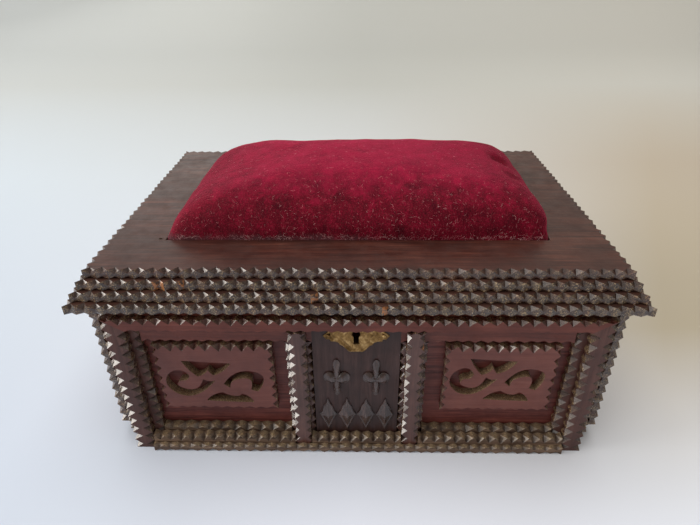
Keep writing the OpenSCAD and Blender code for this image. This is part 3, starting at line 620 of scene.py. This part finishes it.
# Fretwork cut-outs of a plaque, in millimetres from its middle, drawn for a plaque of this size
FRET_W = 57.5
FRET_H = 40.8
FRET_CREST = [((-15.9, 12), (-13.2, 6.8), (-9.4, 2)), ((-9.4, 2), (-6.2, 3.4), (-3.7, 6.2)),
              ((-3.7, 6.2), (-2.8, 4.4), (-1.4, 2.8)), ((-1.4, 2.8), (4.2, 6), (8.8, 12))]
FRET_SCROLL = [((-13.2, 2.6), (-17.6, 6.2), (-23.4, 3.6)), ((-23.4, 3.6), (-25.2, -3.4), (-20.6, -9.6)),
               ((-20.6, -9.6), (-11.2, -9.9), (-0.9, -0.6)), ((-0.9, -0.6), (-4, -1), (-6.9, 0.4)),
               ((-6.9, 0.4), (-10.6, -5.6), (-16.6, -5.9)), ((-16.6, -5.9), (-19.8, -3.4), (-17.6, -0.6)),
               ((-17.6, -0.6), (-14.6, 0), (-13.2, 2.6))]
FRET_ARCH = [((3, -2.8), (9.4, 4.1), (16.8, 5.6)), ((16.8, 5.6), (23, 1.6), (19.6, -7.7)),
             ((19.6, -7.7), (18, -7.2), (16.2, -6.6)), ((16.2, -6.6), (16.4, 0), (11, 0.6)),
             ((11, 0.6), (7.2, -1.4), (6, -5.4)), ((6, -5.4), (4.6, -4.2), (3, -2.8))]
FRET_FOOT = [((-7, -13.9), (-3, -10.2), (1.8, -8.3)), ((1.8, -8.3), (4.6, -10), (7.6, -10.8)),
             ((7.6, -10.8), (9.7, -10.6), (11.6, -9.2)), ((11.6, -9.2), (15, -11.6), (17, -15)),
             ((17, -15), (5, -14.7), (-7, -13.9))]
CURVE_STEPS = 9
PLAQUE_WEAR = 0.22 * MM


def curve(a, b, c):
    """Points of a quadratic curve from a through b, short of c."""
    points = []
    for i in range(CURVE_STEPS):
        t = i / CURVE_STEPS
        points.append([(1 - t) ** 2 * p + 2 * t * (1 - t) * (2 * q - (p + r) / 2) + t * t * r
                       for p, q, r in zip(a, b, c)])
    return points


def build_plaques():
    for node, on_side, axis, across, sign, rise in (
            ("front_left_plaque", on_front, "x", 0, 1, -1.2),
            ("front_right_plaque", on_front, "x", 0, 1, 1.0),
            ("left_plaque", on_left, "y", 1, -1, 0.0), ("right_plaque", on_right, "y", 1, 1, 0.0)):
        u0, u1 = sorted((sign * low(node, across), sign * high(node, across)))
        z0, z1 = low(node, 2), high(node, 2)
        mid_u, mid_z = (u0 + u1) / 2, (z0 + z1) / 2 + rise * MM
        holes = [[(mid_u + x * (u1 - u0) / FRET_W, mid_z + z * (z1 - z0) / FRET_H)
                  for part in fret for x, z in curve(*part)]
                 for fret in (FRET_CREST, FRET_SCROLL, FRET_ARCH, FRET_FOOT)]
        carving = Carving("carved_" + node)
        cuts = (SHALLOW_CUT, PLAQUE_CUT, PLAQUE_TOP_CUT, PLAQUE_CUT)
        carving.board(box_corners(u0, u1, z0, z1), cuts, on_side(0), holes=holes)
        carving.done(plaque_wood[axis], "case", node, bevel=PLAQUE_WEAR)


# The lid's four boards. The top one has the pincushion's window, and by its corner the hole that the
# fretsaw's blade went through.
WINDOW_GAP = 0.3 * MM
SAW_HOLE_AT = (3 * MM, 1 * MM)
SAW_HOLE_R = (0.9 * MM, 0.7 * MM)
SAW_HOLE_POINTS = 12


def build_lid():
    saw_hole = [(-CUSHION_A - SAW_HOLE_AT[0] + SAW_HOLE_R[0] * math.cos(a),
                 -CUSHION_B + SAW_HOLE_AT[1] + SAW_HOLE_R[1] * math.sin(a))
                for a in (math.tau * i / SAW_HOLE_POINTS for i in range(SAW_HOLE_POINTS))]
    half_a, half_b = CUSHION_A + WINDOW_GAP, CUSHION_B + WINDOW_GAP
    window = box_corners(-half_a, half_a, -half_b, half_b)
    for node in ("lid_top_board", "lid_second_board", "lid_third_board", "lid_bottom_board"):
        corners = box_corners(low(node, 0), high(node, 0), low(node, 1), high(node, 1))
        carving = Carving("carved_" + node)
        is_top = node == "lid_top_board"
        carving.board(corners, (LID_CUT,) * 4, flat_at(low(node, 2)),
                      holes=[window, saw_hole] if is_top else (),
                      lift=PLATE_PROUD if node == "lid_bottom_board" else 0.0)
        # The lower boards take the darker wood, painted shade between the rows
        material, slot = (lid_wood, "lid_wood") if is_top else (ledge_wood_painted_shade, "strip_wood")
        carving.done(material, "lid", node)


# Carved ornaments on the centre panel: two rosettes over a row of lozenges
ORNAMENT_PITCH = PANEL_U * 6 / 13
ROSETTE_WAIST = 0.36
ROSETTE_POWER = 1.4
ROSETTE_EDGE = 0.28
ROSETTE_TURNS = 96
ROSETTE_RINGS = 10


def build_rosettes():
    node = "centre_rosettes"
    lo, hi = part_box(node)
    half_h = (hi[2] - lo[2]) / 2
    mid_z = (hi[2] + lo[2]) / 2
    relief = PANEL_FACE - lo[1]
    mid_u = ORNAMENT_PITCH
    half_w = hi[0] - mid_u
    carving = Carving("carved_" + node)
    for sign in (-1, 1):
        rings = []
        for r in range(ROSETTE_RINGS):
            s = 1 - r / ROSETTE_RINGS
            ring = []
            for i in range(ROSETTE_TURNS):
                a = math.tau * i / ROSETTE_TURNS
                lobe = abs(math.cos(2 * a)) ** ROSETTE_POWER
                reach = (ROSETTE_WAIST + (1 - ROSETTE_WAIST) * lobe) * s
                ridge = 0.45 + 0.55 * abs(math.cos(2 * a)) ** 3
                boss = math.exp(-(s / 0.2) ** 2)
                rise = (1 - s ** 4) * (0.35 + 0.45 * ridge * (1 - abs(2 * s - 0.9)) + 0.35 * boss)
                rise = min(1 - ROSETTE_EDGE, max(0.0, rise)) if r else 0.0
                lift = relief * (ROSETTE_EDGE + rise)
                ring.append(carving.mesh.verts.new((
                    sign * mid_u + half_w * reach * math.cos(a), PANEL_FACE - lift,
                    mid_z + half_h * reach * math.sin(a))))
            rings.append(ring)
        foot = [carving.mesh.verts.new((v.co.x, PANEL_FACE, v.co.z)) for v in rings[0]]
        for inner, outer in zip([foot] + rings[:-1], rings):
            bridge(carving.face, inner, outer)
        carving.face(rings[-1])
    carving.done(ornament_wood, "case", node)


# A lozenge's levels from its foot to its ridge, as shares of its size and of its relief
LOZENGE_LEVELS = ((1.0, 0.0), (1.0, 0.3), (0.84, 0.46), (0.72, 0.4), (0.12, 0.95))
LOZENGE_NICK = 0.07
LOZENGE_SIDE_STEPS = 4


def build_lozenges():
    node = "centre_lozenges"
    lo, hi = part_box(node)
    half_w = hi[0] - 1.5 * ORNAMENT_PITCH
    half_h = (hi[2] - lo[2]) / 2
    mid_z = (hi[2] + lo[2]) / 2
    relief = PANEL_FACE - lo[1]
    carving = Carving("carved_" + node)
    for i in range(4):
        mid_u = (i - 1.5) * ORNAMENT_PITCH
        rings = []
        for size, rise in LOZENGE_LEVELS:
            ring = []
            for q, (du, dz) in enumerate(((-1, 0), (0, -1), (1, 0), (0, 1))):
                nu, nz = ((0, -1), (1, 0), (0, 1), (-1, 0))[q]
                for k in range(LOZENGE_SIDE_STEPS):
                    t = k / LOZENGE_SIDE_STEPS
                    notch = 1 - (LOZENGE_NICK if k % 2 else 0.0) * (size == 1.0)
                    u = (du * (1 - t) + nu * t) * size * notch * half_w
                    z = (dz * (1 - t) + nz * t) * size * notch * half_h
                    ring.append(carving.mesh.verts.new((mid_u + u, PANEL_FACE - relief * rise, mid_z + z)))
            rings.append(ring)
        tip = carving.mesh.verts.new((mid_u, PANEL_FACE - relief, mid_z))
        for inner, outer in zip(rings[:-1], rings[1:]):
            bridge(carving.face, inner, outer)
        for k, point in enumerate(rings[-1]):
            carving.face((point, rings[-1][(k + 1) % len(rings[-1])], tip))
    carving.done(ornament_wood, "case", node)


# The brass keyhole plate, right half from the top middle, in millimetres from the keyhole
PLATE_HALF = [(2.6, 2.4), (5.7, 3), (8, 2.4), (10.4, 2.6), (12.6, 1.6), (15.6, -1.2), (14, -3.4),
              (12.6, -3.4), (12, -4.7), (10.2, -4.6), (8.4, -5.4), (7.8, -6.6), (6.4, -7.2), (5.4, -8.4),
              (3.8, -10.4), (2.8, -10.8)]
PLATE_THICK = 0.8 * MM
# Points of the embossing lie this far apart, over these columns and rows
PLATE_GRID = 0.45
PLATE_COLUMNS = range(-36, 37)
PLATE_ROWS = range(-25, 8)
MERGE_WITHIN = 0.01
KEYHOLE_DROP = 15.3 * MM
KEYHOLE_Z = CASE_H - KEYHOLE_DROP
KEYHOLE_R = 2.0
KEYHOLE_TURNS = 20
KEYHOLE_SLOT = (1.25, 5.5)


def keyhole_outline():
    start = math.asin(KEYHOLE_SLOT[0] / KEYHOLE_R)
    arc = [(-math.pi / 2 + start) + (math.tau - 2 * start) * i / KEYHOLE_TURNS
           for i in range(KEYHOLE_TURNS + 1)]
    points = [(KEYHOLE_R * math.cos(a), KEYHOLE_R * math.sin(a)) for a in arc]
    return points + [(-KEYHOLE_SLOT[0], -KEYHOLE_SLOT[1]), (KEYHOLE_SLOT[0], -KEYHOLE_SLOT[1])]


def edge_distance(point, outline):
    best = math.inf
    for i, a in enumerate(outline):
        a = Vector(a)
        b = Vector(outline[(i + 1) % len(outline)])
        t = max(0.0, min(1.0, (point - a).dot(b - a) / (b - a).length_squared))
        best = min(best, (point - a - (b - a) * t).length)
    return best


def plate_height(point, outer, hole):
    """How high the embossing stands, as a share of the plate's thickness."""
    rim = edge_distance(point, outer)
    bore = edge_distance(point, hole)
    height = 0.34 + 0.42 * math.exp(-((rim - 0.7) / 0.4) ** 2) + 0.6 * math.exp(-(bore / 0.55) ** 2)
    side = abs(point.x)
    scroll = math.cos(1.9 * side + 1.2 * abs(point.y + 1.5)) if 4 < side < 12 else 0.0
    height += 0.28 * scroll * min(1.0, rim)
    if point.y < -5.8 and side < 5:
        fan = math.atan2(point.x, point.y + 3.5 + 9)
        height += 0.36 * math.cos(14 * fan) * min(1.0, rim / 1.2)
    return min(1.0, max(0.1, height if rim > 0.2 else 0.25))


def build_escutcheon():
    outer = [Vector(p) for p in PLATE_HALF] + [Vector((-x, z)) for x, z in reversed(PLATE_HALF)]
    outer = outer[::-1]
    hole = [Vector(p) for p in keyhole_outline()]
    grid = [Vector((x * PLATE_GRID, z * PLATE_GRID)) for x in PLATE_COLUMNS for z in PLATE_ROWS]
    points = outer + hole + grid
    loops = [list(range(len(outer))), list(range(len(outer), len(outer) + len(hole)))]
    edges = [(loop[i], loop[(i + 1) % len(loop)]) for loop in loops for i in range(len(loop))]
    verts, _, faces, *_ = delaunay_2d_cdt(points, edges, [], 0, MERGE_WITHIN)
    carving = Carving("embossed_escutcheon")
    add = carving.mesh.verts.new
    made = {}
    for a, b, c in (f for f in faces if len(f) == 3):
        middle = (verts[a] + verts[b] + verts[c]) / 3
        if not inside(middle, outer) or inside(middle, hole):
            continue
        for i in (a, b, c):
            if i not in made:
                lift = plate_height(verts[i], outer, hole) * PLATE_THICK
                made[i] = add((verts[i].x * MM, PANEL_FACE - lift, KEYHOLE_Z + verts[i].y * MM))
        carving.face((made[a], made[b], made[c]))
    rim = [e for e in carving.mesh.edges if e.is_boundary]
    skirt = bmesh.ops.extrude_edge_only(carving.mesh, edges=rim)["geom"]
    for vert in (g for g in skirt if isinstance(g, bmesh.types.BMVert)):
        vert.co.y = PANEL_FACE
    piece = carving.done(brass, "case", "escutcheon")
    for polygon in piece.data.polygons:
        polygon.use_smooth = len(polygon.vertices) == 3


def inside(point, outline):
    odd = False
    for i, a in enumerate(outline):
        b = outline[(i + 1) % len(outline)]
        if (a.y > point.y) != (b.y > point.y):
            odd ^= point.x < (b.x - a.x) * (point.y - a.y) / (b.y - a.y) + a.x
    return odd


# Domed heads of the two pins that hold the plate: share of the head's radius, height in millimetres
PIN_PROFILE = ((1.0, 0.55), (1.02, 0.75), (0.92, 1.02), (0.7, 1.22), (0.4, 1.32), (0.12, 1.3))
PIN_TURNS = 20


def build_escutcheon_pins():
    node = "escutcheon_pins"
    lo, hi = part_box(node)
    head_r = (hi[2] - lo[2]) / 2
    pin_z = (hi[2] + lo[2]) / 2
    pin_u = hi[0] - head_r
    carving = Carving("domed_" + node)
    for sign in (-1, 1):
        rings = []
        for r, lift in PIN_PROFILE:
            rings.append([carving.mesh.verts.new((
                sign * pin_u + head_r * r * math.cos(math.tau * i / PIN_TURNS), PANEL_FACE - lift * MM,
                pin_z + head_r * r * math.sin(math.tau * i / PIN_TURNS))) for i in range(PIN_TURNS)])
        for inner, outer in zip(rings[:-1], rings[1:]):
            bridge(carving.face, inner, outer)
        carving.face(rings[0])
        carving.face(rings[-1])
    carving.done(brass, "case", node)


# The pincushion: a boxy velvet pad, blown up a little as cloth. It has two dents at its right end and a
# shallow one on top, each given by its place, size and depth in millimetres.
DENTS = (((79, 8, 125), 4.8, 6.0), ((78, -16, 120), 4.8, 6.0), ((-30, 34, 133), 14.0, 0.8))
LUMP_SCALE = 38
LUMP_H = 0.7
SHELL_RINGS = 22
SHELL_TURNS = 120
SHELL_GAP = 0.3 * MM
CROWN_DROP = 1.2
VOXEL = 3 * MM
CLOTH_STEPS = 20
CLOTH_STIFFNESS = 12
CLOTH_PRESSURE = 4
HELD_BELOW = LID_TOP + 1 * MM
SWELL_CAP = 3.0 * MM
TUCK_H = 3.5 * MM
BULGE = 1.4 * MM
BULGE_AT = 7 * MM


def side_roundness(a):
    right = max(0.0, math.cos(a)) ** 2
    left = max(0.0, -math.cos(a)) ** 2
    return 2.7 + 0.8 * right - 0.5 * left


def shell_mesh():
    shell = bmesh.new()
    rings = []
    for k in range(SHELL_RINGS):
        rise = math.pi / 2 * k / SHELL_RINGS
        ring = []
        for i in range(SHELL_TURNS):
            a = math.tau * (i + 0.5) / SHELL_TURNS
            power = 2 / side_roundness(a)
            s = math.cos(rise) ** power
            q = 2 / (20 - 16 * (k / SHELL_RINGS) ** 0.4)
            crown = CROWN - (CROWN_DROP + CROWN_DROP * math.cos(a) * s) * MM
            ring.append(shell.verts.new(((CUSHION_A - SHELL_GAP) * s * signed_power(math.cos(a), q),
                                         (CUSHION_B - SHELL_GAP) * s * signed_power(math.sin(a), q),
                                         LID_TOP + crown * math.sin(rise) ** power)))
        rings.append(ring)
    rings.insert(0, [shell.verts.new((v.co.x, v.co.y, LID_TOP - TUCK_H)) for v in rings[0]])
    tip = shell.verts.new((0, 0, LID_TOP + CROWN - CROWN_DROP * MM))
    for lower, upper in zip(rings[:-1], rings[1:]):
        bridge(shell.faces.new, lower, upper)
    for i in range(SHELL_TURNS):
        shell.faces.new((rings[-1][i], rings[-1][(i + 1) % SHELL_TURNS], tip))
    shell.faces.new(rings[0])
    bmesh.ops.recalc_face_normals(shell, faces=shell.faces)
    return mesh_data("velvet_pincushion", shell)


def applied(piece):
    """The piece's mesh with its modifiers worked in."""
    view = bpy.context.evaluated_depsgraph_get()
    return bpy.data.meshes.new_from_object(piece.evaluated_get(view))


def swollen(pad):
    """Blows the pad up as cloth, held at its base, and caps how far each point moves."""
    rest = [v.co.copy() for v in pad.data.vertices]
    base = pad.vertex_groups.new(name="base")
    base.add([i for i, co in enumerate(rest) if co.z < HELD_BELOW], 1.0, "REPLACE")
    cloth = pad.modifiers.new("cloth", "CLOTH")
    cloth.settings.vertex_group_mass = "base"
    cloth.settings.quality = 6
    cloth.settings.mass = 0.3
    cloth.settings.tension_stiffness = CLOTH_STIFFNESS
    cloth.settings.compression_stiffness = CLOTH_STIFFNESS
    cloth.settings.bending_stiffness = 0.4
    cloth.settings.use_pressure = True
    cloth.settings.uniform_pressure_force = CLOTH_PRESSURE
    cloth.settings.effector_weights.gravity = 0
    scene = bpy.context.scene
    for step in range(1, CLOTH_STEPS + 1):
        scene.frame_set(step)
    data = applied(pad)
    scene.frame_set(1)
    for vert, start in zip(data.vertices, rest):
        move = vert.co - start
        if move.length > SWELL_CAP:
            vert.co = start + move.normalized() * SWELL_CAP
    pad.modifiers.clear()
    return data


def shape_cushion(data):
    """Dents, lumps, the bulge at the right and the tuck where the velvet goes down into the window."""
    for vert in data.vertices:
        co = vert.co
        normal = vert.normal.copy()
        tuck = min(1.0, max(0.0, (LID_TOP + TUCK_H - co.z) / TUCK_H))
        reach = max(abs(co.x) / CUSHION_A, abs(co.y) / CUSHION_B)
        if reach > 0.85:
            co.x += (co.x / reach - co.x) * tuck
            co.y += (co.y / reach - co.y) * tuck
        side = max(0.0, co.x / CUSHION_A - 0.75) * 4
        co.x += min(1.0, side) * BULGE * math.exp(-((co.z - LID_TOP - BULGE_AT) / BULGE_AT) ** 2)
        lumps = noise.fractal(co * LUMP_SCALE, 0.8, 2.0, 3) * LUMP_H * MM
        dent = sum(depth * math.exp(-((co - Vector(at) * MM).length / (size * MM)) ** 2)
                   for at, size, depth in DENTS) * MM
        co += normal * (lumps - dent)
        if co.z < LID_TOP + 0.6 * MM:
            co.x = max(-CUSHION_A, min(CUSHION_A, co.x))
            co.y = max(-CUSHION_B, min(CUSHION_B, co.y))


def build_cushion():
    pad = add_object("velvet_pincushion", shell_mesh())
    remesh = pad.modifiers.new("remesh", "REMESH")
    remesh.mode = "VOXEL"
    remesh.voxel_size = VOXEL
    data = applied(pad)
    pad.modifiers.clear()
    pad.data = data
    pad.data = swollen(pad)
    shape_cushion(pad.data)
    pad.data.materials.clear()
    pad.data.materials.append(velvet())
    for polygon in pad.data.polygons:
        polygon.use_smooth = True
    smooth = pad.modifiers.new("smooth", "SUBSURF")
    smooth.levels = smooth.render_levels = 1
    pad.vertex_groups.clear()
    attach(pad, "lid")
    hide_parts("pincushion")
    return pad


# Pale lint caught on the velvet: short bent fibres, thickest along the front seam
LINT_COUNT = 1500
LINT_JOINTS = 5
LINT_LIFT = 0.25
LINT_STEP = (0.14, 0.45)
LINT_R = (0.022, 0.04)


def build_lint(pad):
    bpy.context.view_layer.update()
    tree = BVHTree.FromObject(pad, bpy.context.evaluated_depsgraph_get())
    rng = seeded("lint")
    lint = bmesh.new()
    for i in range(LINT_COUNT):
        seam = i % 3 == 0
        x = rng.uniform(-0.98, 0.98) * CUSHION_A
        start = Vector((x, -0.2, LID_TOP + (rng.uniform(0.3, 2.2) if seam else rng.uniform(2, 24)) * MM))
        if not seam and i % 2:
            start = Vector((x, rng.uniform(-0.8, 0.9) * CUSHION_B, 0.3))
        aim = Vector((0, 1, 0)) if start.y < -0.1 else Vector((0, 0, -1))
        hit, normal, _, _ = tree.ray_cast(start, aim)
        if hit is None:
            continue
        run = normal.orthogonal().normalized()
        run.rotate(Matrix.Rotation(rng.uniform(0, math.tau), 3, normal))
        turn = rng.uniform(-0.9, 0.9)
        step = rng.uniform(*LINT_STEP) * MM
        point = hit + normal * LINT_LIFT * MM
        radius = rng.uniform(*LINT_R) * MM
        rings = []
        for _ in range(LINT_JOINTS):
            side = run.cross(normal).normalized()
            rings.append([
                lint.verts.new(point + side * radius * math.cos(a) + normal * radius * math.sin(a))
                for a in (0, math.tau / 3, 2 * math.tau / 3)])
            run.rotate(Matrix.Rotation(turn * rng.uniform(0.2, 1), 3, normal))
            point = point + run * step
            near, up, _, _ = tree.find_nearest(point)
            point = near + up * LINT_LIFT * MM
        for lower, upper in zip(rings[:-1], rings[1:]):
            bridge(lint.faces.new, lower, upper)
        lint.faces.new(rings[0])
        lint.faces.new(rings[-1])
    bmesh.ops.recalc_face_normals(lint, faces=lint.faces)
    data = mesh_data("lint", lint)
    s = Shader("lint")
    tint = s.ramp(s.noise(s.coords, 160.0), [(0.35, srgb(168, 88, 100)), (0.6, srgb(214, 168, 170))])
    settle(data, "lint", s.finish(Base_Color=tint, Roughness=0.9), "lid")


# CAD nodes that stay as they are take a detailed material and slightly worn edges
KEPT = {
    "bottom_board": (case_wood, 0.3), "front_wall": (case_wood, 0), "back_wall": (case_wood, 0),
    "left_wall": (case_wood, 0.3), "right_wall": (case_wood, 0.3), "centre_panel": (panel_wood, 0),
    "lock_case": (iron, 0), "lock_bolt": (brass, 0), "lock_screws": (iron, 0), "lid_link_plate": (brass, 0),
    "lid_link_screws": (brass, 0), "hinge_case_screws": (iron, 0), "hinge_lid_screws": (iron, 0),
}
for hinge in ("left_hinge", "right_hinge"):
    KEPT.update({hinge + "_case_leaf": (brass, 0), hinge + "_lid_leaf": (brass, 0),
                 hinge + "_pin": (iron, 0)})


def dress_kept_nodes():
    for node, (material, bevel) in KEPT.items():
        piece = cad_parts[node]
        for material_slot in piece.material_slots:
            material_slot.material = material
        if bevel:
            add_bevel(piece, bevel * MM)


# A pale table that curves up into its own backdrop
TABLE_FRONT = -3.0
TABLE_BACK = 1.2
BEND_R = 0.9
BEND_STEPS = 16
BACKDROP_TOP = 3.0
TABLE_COLUMNS = (-4.0, -2.0, 0.0, 2.0, 4.0)


def build_stage():
    profile = [(TABLE_FRONT, 0.0), (TABLE_BACK, 0.0)]
    profile += [(TABLE_BACK + BEND_R * math.sin(a), BEND_R * (1 - math.cos(a)))
                for a in (math.pi / 2 * i / BEND_STEPS for i in range(1, BEND_STEPS + 1))]
    profile.append((TABLE_BACK + BEND_R, BACKDROP_TOP))
    sweep = bmesh.new()
    columns = [[sweep.verts.new((x, y, z)) for y, z in profile] for x in TABLE_COLUMNS]
    for left, right in zip(columns[:-1], columns[1:]):
        for i in range(len(profile) - 1):
            sweep.faces.new((left[i], right[i], right[i + 1], left[i + 1]))
    data = mesh_data("table", sweep)
    table = add_object("table", data)
    data.materials.append(pale_table())
    for polygon in data.polygons:
        polygon.use_smooth = True


def add_lamp(name, at, aim, size, power, colour):
    data = bpy.data.lights.new(name, "AREA")
    data.shape = "RECTANGLE"
    data.size, data.size_y = size
    data.energy = power
    data.color = colour[:3]
    lamp = add_object(name, data)
    lamp.visible_camera = False
    lamp.location = at
    lamp.rotation_euler = (Vector(aim) - Vector(at)).to_track_quat("-Z", "Y").to_euler()


# Each lamp's name, place, aim, size, power and colour. The first is mirrored in the carved facets.
LAMPS = (
    ("window", (-2.145, -0.3, 0.46), (0, 0, 0.08), (0.95, 0.95), 34, srgb(255, 250, 243)),
    ("back_window", (-0.8, 1.5, 0.6), (0, 0, 0.1), (1.0, 0.7), 1.4, srgb(255, 250, 242)),
    ("front_left", (-1.1, -1.0, 0.85), (0, 0, 0.05), (0.7, 0.7), 5, srgb(255, 251, 245)),
    ("overhead", (0.0, 0.2, 2.2), (0, 0, 0), (2.4, 2.4), 38, srgb(255, 251, 246)),
)
ROOM_COLOUR = srgb(255, 246, 234)
ROOM_STRENGTH = 0.34


def build_lights():
    for lamp in LAMPS:
        add_lamp(*lamp)
    world = bpy.data.worlds.new("room")
    bpy.context.scene.world = world
    world.use_nodes = True
    background = world.node_tree.nodes["Background"]
    background.inputs["Color"].default_value = ROOM_COLOUR
    background.inputs["Strength"].default_value = ROOM_STRENGTH


# The camera, fitted to the photograph
CAMERA_AT = Vector((2.03, -273.02, 223.87)) * MM
PITCH = math.radians(30.492)
YAW = math.radians(-1.363)
ROLL = math.radians(-0.582)
FOCAL_PX = 524.2
PHOTO_W = 700


def build_camera():
    data = bpy.data.cameras.new("camera")
    data.sensor_fit = "HORIZONTAL"
    data.sensor_width = 36
    data.lens = FOCAL_PX * data.sensor_width / PHOTO_W
    data.clip_start = 0.01
    camera = add_object("camera", data)
    ahead = Vector((math.sin(YAW) * math.cos(PITCH), math.cos(YAW) * math.cos(PITCH), -math.sin(PITCH)))
    right = Vector((math.cos(YAW), -math.sin(YAW), 0))
    up = right.cross(ahead)
    across = math.cos(ROLL) * right + math.sin(ROLL) * up
    upward = math.cos(ROLL) * up - math.sin(ROLL) * right
    camera.matrix_world = Matrix((across, upward, -ahead)).transposed().to_4x4()
    camera.location = CAMERA_AT
    bpy.context.scene.camera = camera


build_camera()
build_rails()
build_posts()
build_pilasters()
build_plaques()
build_lid()
build_rosettes()
build_lozenges()
build_escutcheon()
build_escutcheon_pins()
dress_kept_nodes()
build_lint(build_cushion())
build_stage()
build_lights()
bpy.context.scene.view_settings.view_transform = "Standard"
